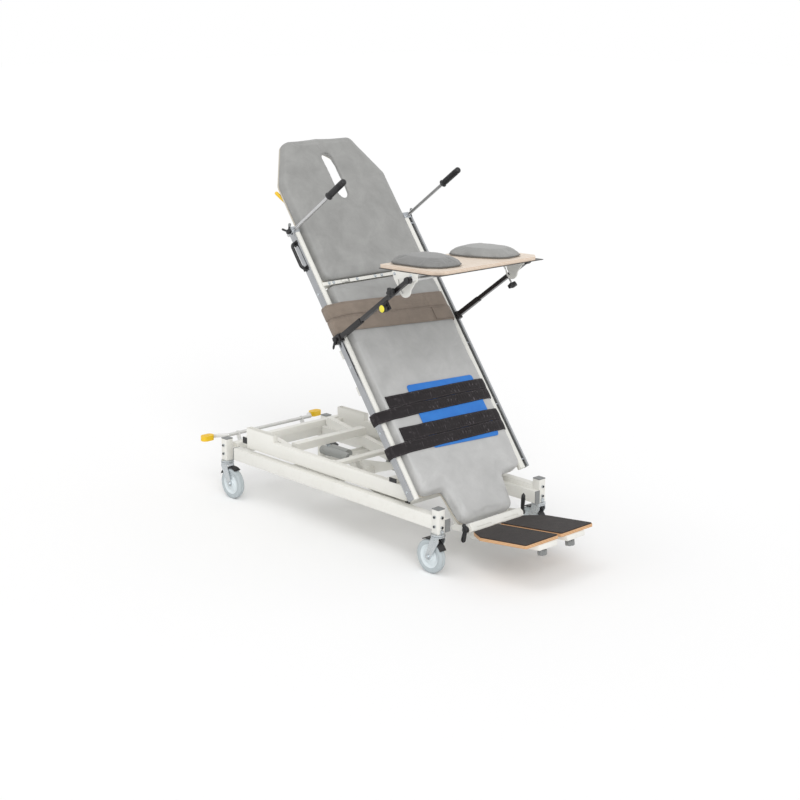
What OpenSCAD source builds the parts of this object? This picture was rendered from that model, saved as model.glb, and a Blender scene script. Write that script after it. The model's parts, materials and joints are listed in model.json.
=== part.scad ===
/* [Chassis] */
// Distance between the post centres along the table
post_span_x = 1456; // [1200:2:1800]
// Distance between the post centres across the table
post_span_y = 636; // [560:2:760]
// Width of each square corner post
post_w = 40; // [36:1:50]
// Height of the posts' undersides above the floor
castor_h = 185; // [180:1:220]
// Height of each corner post
post_h = 107; // [100:1:140]
// Thickness of the plastic end caps
cap_t = 4; // [2:0.5:6]
// Height of the outer side rails
rail_h = 60; // [50:1:70]
// Height of the outer rails above the posts' undersides
rail_lift = 18; // [10:1:22]
// Gap between the head posts and the outer rails
rail_head_gap = 57; // [20:1:100]
// Width of the inner rails
inner_w = 28; // [24:1:34]
// Height of the inner rails
inner_h = 56; // [50:1:60]
// Height of the inner rails above the posts' undersides
inner_lift = 4; // [0:1:8]
// Distance of the middle cross beam headward from the centre
mid_beam_x = 320; // [300:5:360]
// Height of the middle cross beam
mid_beam_h = 35; // [20:1:40]
// Distance of the foot side cross beam from the centre
foot_beam_x = 360; // [300:5:420]
// Length of the foot side cross beam along the table
foot_beam_w = 60; // [40:1:80]
// Height of the foot side cross beam
foot_beam_h = 22; // [16:1:26]

/* [Castors] */
// Wheel diameter
wheel_d = 150; // [125:1:160]
// Wheel tread width
wheel_w = 32; // [26:1:36]
// Trail of the wheel axle behind the swivel
trail = 40; // [30:1:50]
// Thickness of the fork plates
fork_t = 4; // [3:0.5:5]
// Diameter of the swivel head
swivel_d = 64; // [50:1:70]
// Diameter of the castor stem in the post
stem_d = 22; // [16:1:26]
// Length of the castor stem in the post
stem_h = 45; // [30:1:60]
// Diameter of the wheel axle
axle_d = 12; // [8:1:16]

/* [Lift] */
// Height of the arms' lower pivots above the floor
pivot_z = 222; // [215:1:230]
// Place of the rear arms' lower pivot
rear_pivot_x = -40; // [-80:5:0]
// Place of the front arms' lower pivot
front_pivot_x = 500; // [460:5:520]
// Length of the arms along the table at the lowest height
arm_dx = 520; // [480:5:560]
// Rise of the arms along their length at the lowest height
arm_dz = 90; // [80:1:110]
// Depth of the rear arms at their lower end
arm_deep = 60; // [44:1:64]
// Depth of the rear arms at their upper end
arm_tip = 44; // [30:1:50]
// Thickness of the rear arms
arm_t = 30; // [20:1:36]
// Distance of the rear arms' outer faces from the middle
arm_y = 220; // [180:5:230]
// Depth of the front arms
front_arm_deep = 30; // [24:1:36]
// Thickness of the front arms
front_arm_t = 20; // [12:1:24]
// Diameter of the arm pins
pin_d = 20; // [14:1:24]
// Diameter of the torsion tube on the lower shaft
torsion_d = 40; // [34:1:46]
// Lever height from the lower pivot to the lift rod
lever_h = 60; // [50:1:64]
// Angle of the lift lever ahead of upright at the lowest height
lever_a = 28; // [20:1:32]
// Diameter of the actuator pins
act_pin_d = 14; // [10:1:16]
// Diameter of the lift actuator tube
act_d = 40; // [34:1:44]
// Diameter of the actuator rods
act_rod_d = 20; // [16:1:24]
// Diameter of the actuator motors
motor_d = 50; // [40:1:54]

/* [Lift frame] */
// Width of the lift frame beams
lift_w = 30; // [24:1:34]
// Height of the lift frame beams
lift_h = 66; // [56:1:70]
// Underside of the lift frame above the floor at its lowest
lift_z = 272; // [268:1:280]
// Foot end of the lift frame beams
lift_x1 = 520; // [510:1:540]
// Length of the open boxes on the head end
box_len = 200; // [120:5:260]
// Height of the open boxes
box_h = 34; // [20:1:36]
// Wall of the open boxes
box_wall = 3; // [2:0.5:5]
// Diameter of the tilt actuator tube
tilt_act_d = 50; // [40:1:54]
// Distance of the tilt actuator from the middle
tilt_act_y = 60; // [50:1:90]

/* [Table top] */
// Tilt of the table top from level
tilt = 53.7; // [50:0.1:58]
// Mattress width
mat_w = 630; // [560:2:660]
// Mattress thickness with its board
mat_t = 58; // [50:1:62]
// Length of the lower mattress without its tongue
low_len = 1030; // [960:5:1080]
// Length of the tongue between the feet notches
tongue_len = 165; // [120:5:180]
// Width of the tongue at the notches
tongue_w0 = 366; // [320:2:400]
// Width of the tongue at its end
tongue_w1 = 312; // [280:2:340]
// Gap between the lower and the head mattress
mat_gap = 17; // [12:1:24]
// Length of the head mattress
head_len = 720; // [640:5:760]
// Length of the head mattress's tapered shoulder
taper_len = 213; // [150:5:240]
// Width of the head mattress at its end
head_w1 = 398; // [360:2:440]
// Width of the face slot
slot_w = 56; // [50:1:80]
// Length of the face slot
slot_len = 243; // [200:1:260]
// Distance of the face slot from the head end
slot_back = 84; // [60:1:100]
// Diameter of the side tubes
side_d = 36; // [30:1:38]
// Gap between the mattress and the side tubes
side_gap = 2; // [2:0.5:6]
// Thickness of the accessory rails
acc_t = 10; // [8:1:12]
// Height of the accessory rails
acc_h = 30; // [25:1:35]
// Gap between the side tubes and the rails
acc_gap = 5; // [4:0.5:8]
// Reach of the side tubes and rails past the lower mattress
rail_past = 278; // [260:2:320]

/* [Foot end] */
// Length of each footplate
plate_len = 350; // [300:5:380]
// Width of each footplate
plate_w = 205; // [180:5:220]
// Thickness of each wooden footplate
plate_t = 13; // [10:0.5:18]
// Thickness of the anti-slip top
grip_t = 4; // [2:0.5:6]
// Slope of the footplates up to the toes
plate_a = 7; // [0:1:12]
// Width of the carrier channels
carrier_w = 112; // [90:2:130]
// Depth of the carrier channels
carrier_h = 22; // [16:1:26]
// Length of the cross tube half
cross_y = 160; // [140:2:176]

/* [Grips and handle] */
// Height of the grip rods above the mattress
grip_rod_h = 262; // [200:2:300]
// Length of each hand grip
grip_len = 128; // [100:2:150]
// Diameter of the grip rods
grip_rod_d = 16; // [12:1:18]
// Diameter of the hand grips
grip_d = 30; // [24:1:34]
// Length of the side handle
handle_len = 141; // [120:1:160]
// Distance of the side handle from the rail's head end
handle_back = 42; // [30:1:60]

/* [Straps] */
// Distance of the waist belt from the lower mattress's head end
belt_back = 94; // [60:1:120]
// Width of each of the waist belt's two bands
belt_w = 69; // [60:1:80]
// Distance of the leg straps from the foot end of the mattress
leg_u = 196; // [180:1:220]
// Distance between the two leg straps
leg_step = 160; // [140:1:180]
// Width of each leg strap on the near side
leg_w = 48; // [40:1:56]

/* [Tray] */
// Height of the tray's pivot above the mattress
tray_n = 503; // [440:1:560]
// Width of the square lower struts
strut_w = 22; // [18:1:24]
// Length of the tray board
tray_len = 352; // [300:2:400]
// Half width of the tray board
tray_half = 318; // [290:2:322]
// Thickness of the tray board
tray_t = 15; // [10:0.5:18]
// Slope of the tray board
tray_a = 1.6; // [0:0.1:5]
// Height of the elbow pads
elbow_t = 34; // [20:1:50]

/* [Hidden] */
$fn = 48;
// Clearances and the overrun of cuts
fit = 0.06;
seat = 0.3;
over = 2;
slip = 3;

// Posts and their bolts
bolt_head_h = 6;
bolt_head_d = 14;
side_bolt_up = 34;
side_bolt_step = 42;
end_bolt_up = 30;
end_bolt_step = 44;
ring_d = 18;
ring_up = 12;

// Chassis rails and beams
px = post_span_x/2;
py = post_span_y/2;
post_in = py - post_w/2;
rail_z = castor_h + rail_lift;
inner_z = castor_h + inner_lift;
inner_y0 = post_in - inner_w;
mid_beam_up = 5;
foot_beam_up = 1;
shaft_d = 25;

// Castors
swivel_h = 14;
fork_top_d = 46;
fork_end_d = 30;
fork_gap = 2;
fork_rise = 10;
axle_out = 3;
cover_t = 6;
cover_gap = 3;
cover_up = 30;
cover_in = 6;
tread_round = 9;
hub_out = 1.7;
hub_r = 20;
dish_r = 26;
dish_w = 24;
dish_deep = 6;

// Brake bar, its lugs and pedals
brake_lug_y = 240;
brake_lug_t = 10;
brake_lug_d = 26;
brake_lug_low = 2;
brake_lug_high = 42;
brake_back = 34;
brake_up = 40;
brake_d = 14;
brake_end = 9;
bar_back = 62;
bar_up = 100;
bar_d = 18;
bar_y = 262;
brake_arm_y = 208;
brake_arm_t = 8;
brake_arm_d = 24;
pedal_back = 60;
pedal_drop = 10;
pedal_in = 16;
pedal_out = 58;
pedal_d = 44;
pedal_t = 26;
pedal_start = 4;
pedal_end = 3;
brake_x = -(px + brake_back);
brake_z = castor_h + brake_up;
bar_x = -(px + bar_back);
bar_z = castor_h + bar_up;
pedal_x = bar_x - pedal_back;
pedal_z = bar_z - pedal_drop;

// Lift actuator and its hanger
lift_act_y = 75;
hanger_in = 8;
hanger_t = 12;
hanger_w = 40;
hanger_top = 18;
lift_act_len = 190;
lift_bore_in = 60;
lift_motor_drop = 8;
lift_motor_in = 12;
lift_motor_len = 118;
gear_in = 16;
gear_len = 40;
gear_low = 24;
gear_high = 8;
lift_rod_in = 90;
rod_end = 10;
pin_half = 22;
lift_act_x = hanger_in + hanger_t - mid_beam_x;
lift_act_z = pivot_z + lever_h;
lift_pin_x = rear_pivot_x - lever_h*tan(lever_a);

// Rear arms: cross tube, middle plate and forked lever
arm_tube_back = 317;
arm_tube_w = 44;
arm_tube_up = 74;
arm_tube_h = 36;
arm_gap = 2;
web_y = 12;
web_t = 8;
web_back = 214;
web_back_top = 12;
web_back_low = 8;
web_front = 176;
web_front_top = 69;
web_front_low = 45;
web_belly = 18;
fork_half = 17;
fork_lever_t = 6;
fork_lever_end = 34;
fork_lever_past = 6;
slot_play = 2;
slot_cut = 1;

// Lift frame
lift_y1 = post_in + 7*slip/3;
lift_y0 = lift_y1 - lift_w;
rear_x = rear_pivot_x - arm_dx;
front_x = front_pivot_x - arm_dx;
top_pin_z = pivot_z + arm_dz;
lift_past = 5;
lift_x0 = rear_x - arm_tip/2 - lift_past;
lift_top = lift_z + lift_h;
front_arm_gap = 5;
front_arm_y = inner_y0 - front_arm_gap;
hinge_d = 24;
hinge_back = 15;
hinge_down = 19;
cross_in = 3;
end_cross_w = 33;
end_cross_up = 19;
end_cross_h = 30;
mid_cross_in = 40;
mid_cross_w = 40;
mid_cross_h = 16;
front_cross_back = 138;
front_cross_w = 38;
stop_back = 88;
stop_w = 43;
stop_h = 19;
rest_d = 22;

// Tilt actuator
tilt_h = 64;
tilt_act_len = 310;
tilt_hang_t = 20;
tilt_hang_w = 40;
tilt_sunk = 3;
tilt_bore_in = 60;
tilt_motor_y = 52;
tilt_motor_in = 10;
tilt_motor_len = 140;
tilt_gear_in = 14;
tilt_gear_len = 36;
tilt_gear_h = 28;
tilt_rod_in = 140;
tilt_travel = 71.5;
tilt_mid = 37.5;

// Tilt hinge and the table's own frame
hinge_x = lift_x1 - hinge_back;
hinge_z = lift_top - hinge_down;
hinge_u = 70;
hinge_deep = 57;
hinge_n = -(mat_t + hinge_deep);
foot_x = hinge_x + hinge_u*cos(tilt) - hinge_n*sin(tilt);
foot_z = hinge_z - hinge_u*sin(tilt) - hinge_n*cos(tilt);

// Side tubes, sleeves and rails
half = mat_w/2;
side_y = half + side_gap + side_d/2;
side_n = -(mat_t - side_d/2);
acc_len = low_len + rail_past;
acc_up = 5;
acc_y0 = side_y + side_d/2 + acc_gap;
acc_y1 = acc_y0 + acc_t;
acc_n = side_n + acc_up;
acc_low = acc_n - acc_h/2;
acc_high = acc_n + acc_h/2;
spacer_d = 14;
spacer_shares = [0.03, 0.245, 0.49, 0.765, 0.98];
bar_w = 24;
slide_y = 122;
sleeve_wall = 4;
sleeve_lip = 3;
sleeve_u = 20;
sleeve_len = 240;
slide_n = -mat_t - sleeve_lip - bar_w;
sleeve_n = slide_n - sleeve_lip;
sleeve_y0 = slide_y - sleeve_wall;
sleeve_y1 = slide_y + bar_w + sleeve_wall;

// Cross tubes of the top, its hinge lugs and tilt lever
top_cross_w = 40;
hinge_cross_u = 50;
mid_cross_u = 520;
gap_cross_back = 330;
gap_cross_u = low_len - gap_cross_back;
cross_out = 10;
cross_low = 6;
cross_gap = 3;
lug_gap = 6;
lug_t = 14;
lug_d = 48;
tilt_fork_half = 18;
tilt_lever_t = 6;
tilt_lever_d = 44;
tilt_lever_end = 36;
tilt_play = 2.8;

// Gap plate, head hinge and grip clamps
knuckle_u = low_len + mat_gap/2;
knuckle_n = -18;
knuckle_d = 14;
knuckle_pin = 7;
knuckle_y = 190;
knuckle_t = 14;
knuckle_gap = 1;
knuckle_w = 8;
head_u = low_len + mat_gap;
end_u = head_u + head_len;
gap_plate_h = 39;
gap_beam_h = 24;
gap_beam_y = 236;
gap_beam_back = 40;
joist_w = 26;
bracket_t = 20;
pin_past = 1;
clamp_len = 30;
clamp_in = 14;
clamp_step = 2;
clamp_half = 16;
grip_in = 14;
grip_u = acc_len + grip_in;
grip_out = 13;
grip_y = side_y + grip_out;
grip_below = 40;
flange_out = 3;
flange_t = 5;

// Head frame, gas spring and release lever
head_arm_y = 150;
head_arm_w = 26;
head_arm_h = 22;
head_arm_in = 12;
head_arm_back = 60;
head_cross_w = 30;
head_cross_in = 14;
head_cross_back = 50;
head_root = 40;
gas_y = 60;
gas_deep = 16;
gas_n = -mat_t - gas_deep;
gas_d = 22;
gas_rod_d = 10;
gas_h = knuckle_n - gas_n;
gas_a = 30;
gas_back = 80;
gas_len = 268;
gas_bore_in = 50;
gas_rod_in = 140;
gas_rod_end = 6;
gas_pin_d = 8;
gas_pin_half = 14;
gas_fork_half = 11;
gas_fork_t = 4;
gas_fork_up = 3;
gas_play = 1.8;
gas_root = 20;
gas_room = 22;
gas_u1 = knuckle_u - gas_back;
gas_u0 = gas_u1 - gas_len;
gas_pin_u = knuckle_u - gas_h*tan(gas_a);
release_back = 327;
release_y = 240;
release_deep = 14;
release_boss = 18;
release_low = 7;
release_arm_d = 8;
release_grip_d = 16;
release_end_d = 10;
release_tip = 4;
release_arm_l = 60;
release_arm_a = 48;
release_grip_l = 62;
release_grip_a = 30;

// Cushions: insets and heights of the mattress edge, and corner radii
slot_lip = 12;
slot_flare = 58;
slot_past = 22;
crown = 1.5;
crown_in = 40;
edge_in = 20;
edge_drop = 20;
base_in = 5;
base_up = 7;
wall_up = 26;
edge_shares = [[0.075, 0.8], [0.25, 0.4], [0.55, 0.15], [1, 0]];
least_r = 0.5;
head_corner = 34;
foot_corner = 46;
notch_corner = 16;
tongue_corner = 44;
end_corner = 46;
shoulder_corner = 60;
mat_levels = concat([[base_in, -mat_t], [0, base_up - mat_t], [0, wall_up - mat_t]],
    [for (s = edge_shares) [edge_in*s[0], -edge_drop*s[1]]], [[crown_in, crown]]);

// Straps and the knee pad
strap_t = 3;
lay = 0.4;
top_n = crown + seat;
near_y = acc_y1;
far_y = -half;
near_edge_shares = [[-0.7, 0.55], [0.15, 0.35], [0.6, 0.12], [1.8, 0]];
far_edge_shares = [[1.8, 0], [0.9, 0.05], [0.4, 0.15], [0.08, 0.5], [0, 1.1], [0, 1.6]];
belt_gap = 1;
belt_slope = 42;
belt_far_w = 73;
belt_u = low_len - belt_back - 2*belt_w - belt_gap;
leg_slope = 8;
leg_far_w = 49;
leg_far_step = 158;
band_gap = 63;
band_w = 55;
band_step = 150;
band_slope = 21;
band_far_w = 50;
band_start = 22;
pad_t = 5;
pad_y0 = -250;
pad_y1 = 150;
pad_u0 = 187;
pad_u1 = 492;
pad_far_u0 = 168;
pad_far_u1 = 474;
pad_clear = 4;
pad_ramp = 22;

// Side handle
handle_w = 40;
handle_out = 32;
handle_leg = 15;

// Foot end: slide bars, cross tube, carriers and knobs
foot_gap = 30;
foot_u = -(tongue_len + foot_gap);
tube_w = 36;
tube_h = 40;
foot_pin = 16;
foot_arm_t = 6;
foot_arm_gap = 1.5;
foot_arm_d = 32;
foot_step_u = 30;
foot_step_w = 20;
cross_cap = 2;
cross_half = cross_y + cross_cap;
arm_in = cross_half + foot_arm_gap;
groove_u = 12;
groove_w = 7;
groove_deep = 4;
groove_y = 40;
groove_len = 90;
plate_top = -7.3;
plate_x0 = 27.5;
plate_in = 8;
plate_z = plate_top - grip_t - plate_t;
plate_corner = 10;
corner_share = 0.3;
heel_x = 88;
heel_y = 52;
carrier_y = 32;
carrier_wall = 3;
carrier_end = 10;
carrier_step = 6;
carrier_z = plate_z - carrier_h;
knob_in = 28;
knob_x = plate_x0 + plate_len - knob_in;
knob_room = 14;
knob_stem = 10;
stem_top = 5;
collar_d = 22;
collar_h = 12;
foot_knob_d = 40;
foot_knob_h = 22;
lobe_d = 14;
lobe_r = 24;
foot_lever_y = arm_in + foot_arm_t + seat;
foot_hub_d = 26;
foot_hub_l = 18;
foot_bar_d = 13;
foot_near_tip = 56;
foot_near_back = 24;
foot_far_tip = 81;
foot_far_back = 7;

// Clamp levers of the grips and the tray
grip_hub_d = 22;
grip_hub_l = 14;
grip_bar_d = 9;
grip_tip = 48;
grip_back = 31;
tray_hub_d = 20;
tray_tip = 47;
tray_back = 5;

// Tray clamps and struts
tray_clamp_half = 18;
tray_clamp_wall = 8;
tray_clamp_lip = 4;
tray_clamp_out = 12;
tray_clamp_gap = 1;
lip_half = 9;
tray_u = belt_u - tray_clamp_gap - tray_clamp_half;
strut_y = (acc_y0 + acc_y1)/2;
strut_wall = 2;
strut_in = strut_w - 2*strut_wall;
strut_floor = 4;
strut_joint = 145;
strut_start = 28;
strut_top_d = 30;
strut_y0 = strut_y - strut_in/2;
strut_y1 = strut_y + strut_in/2;
clamp_top = acc_high + tray_clamp_wall;
tray_rod_d = 16;
slot_r = 98;
slot_a0 = 186;
slot_a1 = 224;
slot_room = 1;
bolt_d = 8;
ear_out = 34;
ear_down = 180;
ear_end = 12;
ear_half = 14;
ear_in = 3;
yellow_u = tray_u - ear_out;
yellow_n = tray_n - ear_down;
far_knob_down = 138;
far_knob_n = tray_n - far_knob_down;

// Tray board and its side plates
tray_x0 = -223;
tray_z = 25;
tray_corner = 43;
sheet_t = 3;
sheet_out = 4;
sheet_z = tray_z - sheet_t;
side_plate_y = 6;
side_plate_t = 6;
side_x0 = -134;
side_x1 = 16;
side_pivot_d = 32;
side_heel_x = -124;
side_heel_z = -10;
side_lobe_x = -58;
side_lobe_z = -50;
side_lobe_d = 68;
ledge_in = 14;
ledge_t = 4;
rod_past = 1;

// Elbow pads: insets and heights of the edge, outline and corner radii
elbow_round = 24;
elbow_corner = 40;
elbow_edge_shares = [[0.29, 0], [0.08, 0.15], [0, 0.35], [0.125, 0.59], [0.42, 0.79], [1, 0.94],
    [1.83, 1]];
elbow_outline_shares = [[0.884, 0.472], [0.855, 0.742], [0.662, 0.896], [0.122, 0.912], [0.014, 0.786],
    [0.014, 0.346], [0.122, 0.164], [0.463, 0.195], [0.804, 0.346]];
elbow_corner_shares = [0.5, 1, 1.25, 0.75, 1, 1, 1, 1.5, 1];

// Tray knobs
knob_y = strut_y1 + seat;
knob_base_h = 8;
knob_base_d = 18;
star_d = 44;
star_h = 18;
star_boss = 3;
yellow_base_h = 12;
yellow_base_d = 16;
yellow_h = 16;
yellow_d = 34;
yellow_bolt = 10;
far_bolt_in = 8;
far_bolt_out = 30;

// Ends of the whole table, which centre it on its own frame
toe_reach = 505;
toe_x = foot_x + toe_reach;
shift = -(toe_x + pedal_x - pedal_d/2)/2;

function x_of(u, n) = foot_x - u*cos(tilt) + n*sin(tilt);
function z_of(u, n) = foot_z + u*sin(tilt) + n*cos(tilt);
function polar(r, a) = r*[cos(a), sin(a)];

cream = [0.9, 0.88, 0.82];
dark = [0.12, 0.12, 0.13];
steel = [0.72, 0.73, 0.75];
zinc = [0.6, 0.62, 0.66];
grey = [0.4, 0.4, 0.4];
slate = [0.42, 0.48, 0.52];
wood = [0.8, 0.62, 0.42];
cloth = [0.42, 0.36, 0.32];
leather = [0.47, 0.47, 0.46];
yellow = [0.95, 0.85, 0.1];
blue = [0.1, 0.35, 0.75];

// The chassis frame: origin between the posts on the floor
module stand() { translate([shift, 0, 0]) children(); }

// The table frame: x up the table, y to the near side, z out of the mattress
module on_top() {
    translate([shift + foot_x, 0, foot_z])
        rotate([0, tilt, 0]) rotate([0, 0, 180]) children();
}

module block(x0, x1, y0, y1, z0, z1) {
    translate([x0, y0, z0]) cube([x1 - x0, y1 - y0, z1 - z0]);
}

module rod_y(x, z, d, y0, y1) {
    translate([x, y1, z]) rotate([90, 0, 0]) cylinder(h = y1 - y0, d = d);
}

module rod_x(y, z, d, x0, x1) {
    translate([x0, y, z]) rotate([0, 90, 0]) cylinder(h = x1 - x0, d = d);
}

module rod_z(x, y, d, z0, z1) {
    translate([x, y, z0]) cylinder(h = z1 - z0, d = d);
}

// A rod from one point to another
module rod(a, b, d) {
    v = b - a;
    l = norm(v);
    translate(a) rotate([0, acos(v[2]/l), atan2(v[1], v[0])]) cylinder(h = l, d = d);
}

// An outline in the x z plane given its thickness along y
module slab_y(y0, y1) {
    translate([0, y1, 0]) rotate([90, 0, 0]) linear_extrude(y1 - y0) children();
}

// The same outline as a plate of thickness t about a middle y
module lever_slab(y, t) { slab_y(y - t/2, y + t/2) children(); }

// A flat link with round ends, tapered from one to the other
module link(a, b, da, db) {
    v = b - a;
    l = norm(v);
    s = (da - db)/2/l;
    c = sqrt(1 - s*s);
    e = v/l;
    p = [-e[1], e[0]];
    translate(a) circle(d = da);
    translate(b) circle(d = db);
    polygon([a + da/2*(s*e + c*p), b + db/2*(s*e + c*p), b + db/2*(s*e - c*p), a + da/2*(s*e - c*p)]);
}

// Both sides of the table
module sides() {
    children();
    mirror([0, 1, 0]) children();
}

// Corner j of the chassis: 1 and 2 at the foot end, 3 and 4 at the head end
function corner(j) = [j < 3 ? px : -px, j % 2 == 1 ? -py : py];

module corner_block(c, z0, z1) {
    block(c[0] - post_w/2, c[0] + post_w/2, c[1] - post_w/2, c[1] + post_w/2, z0, z1);
}

module corner_posts() {
    color(cream) stand() for (j = [1:4]) {
        c = corner(j);
        difference() {
            corner_block(c, castor_h, castor_h + post_h);
            rod_z(c[0], c[1], stem_d + 2*fit, castor_h - over, castor_h + stem_h + fit);
        }
    }
}

module chassis_rails() {
    color(cream) stand() sides() difference() {
        union() {
            block(-px + post_w/2 + rail_head_gap, px - post_w/2, post_in, post_in + post_w,
                rail_z, rail_z + rail_h);
            block(-px - post_w/2, px + post_w/2, inner_y0, post_in, inner_z, inner_z + inner_h);
        }
        rod_y(front_pivot_x, pivot_z, pin_d + 2*fit, inner_y0 - over, post_in);
        rod_y(rear_pivot_x, pivot_z, shaft_d, inner_y0 - over, post_in);
    }
}

module chassis_beams() {
    mid_z = inner_z + mid_beam_up;
    foot_z0 = inner_z + foot_beam_up;
    x0 = hanger_in - mid_beam_x;
    color(cream) stand() {
        block(-px - post_w/2, -px + post_w/2, -inner_y0, inner_y0, rail_z, rail_z + rail_h);
        block(-mid_beam_x - post_w/2, -mid_beam_x + post_w/2, -inner_y0, inner_y0, mid_z, mid_z + mid_beam_h);
        block(foot_beam_x - foot_beam_w/2, foot_beam_x + foot_beam_w/2, -inner_y0, inner_y0,
            foot_z0, foot_z0 + foot_beam_h);
        // Upright that holds the tail of the lift actuator
        block(x0, x0 + hanger_t, -lift_act_y - hanger_w/2, -lift_act_y + hanger_w/2,
            mid_z + mid_beam_h, lift_act_z + hanger_top);
        // Lugs of the brake shaft
        for (s = [-1, 1]) slab_y(s*brake_lug_y - brake_lug_t/2, s*brake_lug_y + brake_lug_t/2) difference() {
            union() {
                translate([brake_x, brake_z]) circle(d = brake_lug_d);
                polygon([[brake_x, brake_z + brake_lug_d/2], [brake_x, brake_z - brake_lug_d/2],
                    [-px - post_w/2, rail_z + brake_lug_low], [-px - post_w/2, rail_z + brake_lug_high]]);
            }
            translate([brake_x, brake_z]) circle(d = brake_d + 2*fit);
        }
    }
}

module chassis_caps() {
    x = px + post_w/2;
    outer = rail_head_gap - x + post_w;
    color(grey) stand() {
        for (j = [1:4]) corner_block(corner(j), castor_h + post_h, castor_h + post_h + cap_t);
        sides() {
            block(x, x + cap_t, inner_y0, post_in, inner_z, inner_z + inner_h);
            block(-x - cap_t, -x, inner_y0, post_in, inner_z, inner_z + inner_h);
            block(outer - cap_t, outer, post_in, post_in + post_w, rail_z, rail_z + rail_h);
        }
    }
}

module chassis_pins() {
    color(zinc) stand() {
        // Shaft of the rear arms
        rod_y(rear_pivot_x, pivot_z, shaft_d, -post_in, post_in);
        // Bolts on the posts' outer and end faces
        for (j = [1:4], k = [0, 1]) {
            c = corner(j);
            s = c[1] < 0 ? -1 : 1;
            e = c[0] < 0 ? -1 : 1;
            translate([c[0], c[1] + s*post_w/2, castor_h + side_bolt_up + k*side_bolt_step])
                rotate([-s*90, 0, 0]) cylinder(h = bolt_head_h, d = bolt_head_d);
            translate([c[0] + e*post_w/2, c[1], castor_h + end_bolt_up + k*end_bolt_step])
                rotate([0, e*90, 0]) cylinder(h = bolt_head_h, d = bolt_head_d);
        }
        // Ring bolts low on the foot posts' end faces
        for (s = [-1, 1]) translate([px + post_w/2, s*py, castor_h + ring_up]) rotate([0, 90, 0])
            difference() {
                cylinder(h = bolt_head_h, d = ring_d);
                translate([0, 0, bolt_head_h/2]) cylinder(h = bolt_head_h, d = ring_d/2);
            }
    }
}

module lift_cylinder() {
    x0 = lift_act_x;
    x1 = x0 + lift_act_len;
    z = lift_act_z;
    motor_y = motor_d - lift_act_y;
    color(dark) stand() difference() {
        union() {
            rod_x(-lift_act_y, z, act_d, x0, x1);
            rod_x(motor_y, z - lift_motor_drop, motor_d, x0 + lift_motor_in,
                x0 + lift_motor_in + lift_motor_len);
            block(x0 + gear_in, x0 + gear_in + gear_len, -lift_act_y, motor_y, z - gear_low, z + gear_high);
        }
        rod_x(-lift_act_y, z, act_rod_d + 2*fit, x0 + lift_bore_in, x1 + over);
    }
}

// Castor: swivel head and stem, two fork plates, axle and a thread cover
module castor_fork(j) {
    c = corner(j);
    e = j < 3 ? -1 : 1;
    r = wheel_d/2;
    ax = e*trail;
    y0 = wheel_w/2 + fork_gap;
    plate_z0 = castor_h - swivel_h - fork_top_d/2 + fork_rise;
    cover_d = wheel_d + 2*cover_gap;
    color(zinc) stand() translate([c[0], c[1], 0]) {
        rod_z(0, 0, swivel_d, castor_h - swivel_h - fit, castor_h - fit);
        rod_z(0, 0, stem_d, castor_h - swivel_h, castor_h + stem_h);
        sides() difference() {
            slab_y(y0, y0 + fork_t) link([0, plate_z0], [ax, r], fork_top_d, fork_end_d);
            block(-swivel_d, swivel_d, 0, swivel_d, castor_h - swivel_h, castor_h + over);
        }
        rod_y(ax, r, axle_d, -wheel_w/2 - axle_out - fork_t, wheel_w/2 + axle_out + fork_t);
        // Thread cover over the back of the wheel
        difference() {
            rod_y(ax, r, cover_d + 2*cover_t, -y0, y0);
            rod_y(ax, r, cover_d, -wheel_w, wheel_w);
            block(ax - wheel_d, ax + wheel_d, -wheel_w, wheel_w, -wheel_d, r + cover_up);
            block(-wheel_d, wheel_d, -wheel_w, wheel_w, castor_h - swivel_h, castor_h + wheel_d);
            block(e < 0 ? swivel_d/2 - cover_in : -wheel_d, e < 0 ? wheel_d : cover_in - swivel_d/2,
                -wheel_w, wheel_w, 0, castor_h);
        }
    }
}

module castor_wheel(j) {
    c = corner(j);
    e = j < 3 ? -1 : 1;
    r = wheel_d/2;
    hub_w = wheel_w + 2*hub_out;
    color(slate) stand() translate([c[0] + e*trail, c[1], r]) rotate([90, 0, 0]) difference() {
        rotate_extrude($fn = 72) difference() {
            union() {
                translate([0, tread_round - wheel_w/2]) square([r, wheel_w - 2*tread_round]);
                translate([0, -wheel_w/2]) square([r - tread_round, wheel_w]);
                for (s = [-1, 1]) translate([r - tread_round, s*(wheel_w/2 - tread_round)])
                    circle(r = tread_round, $fn = 32);
                translate([0, -hub_w/2]) square([hub_r, hub_w]);
            }
            // Dished faces between the hub and the tread
            for (s = [-1, 1]) translate([dish_r + dish_w/2, s*(wheel_w + over - dish_deep)/2])
                square([dish_w, dish_deep + over], center = true);
            translate([-over - r, -r]) square([r + over, 2*r]);
        }
        cylinder(h = 2*wheel_w, d = axle_d + 2*fit, center = true);
    }
}
module castor_fork_1() { castor_fork(1); }
module castor_fork_2() { castor_fork(2); }
module castor_fork_3() { castor_fork(3); }
module castor_fork_4() { castor_fork(4); }
module castor_wheel_1() { castor_wheel(1); }
module castor_wheel_2() { castor_wheel(2); }
module castor_wheel_3() { castor_wheel(3); }
module castor_wheel_4() { castor_wheel(4); }

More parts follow.
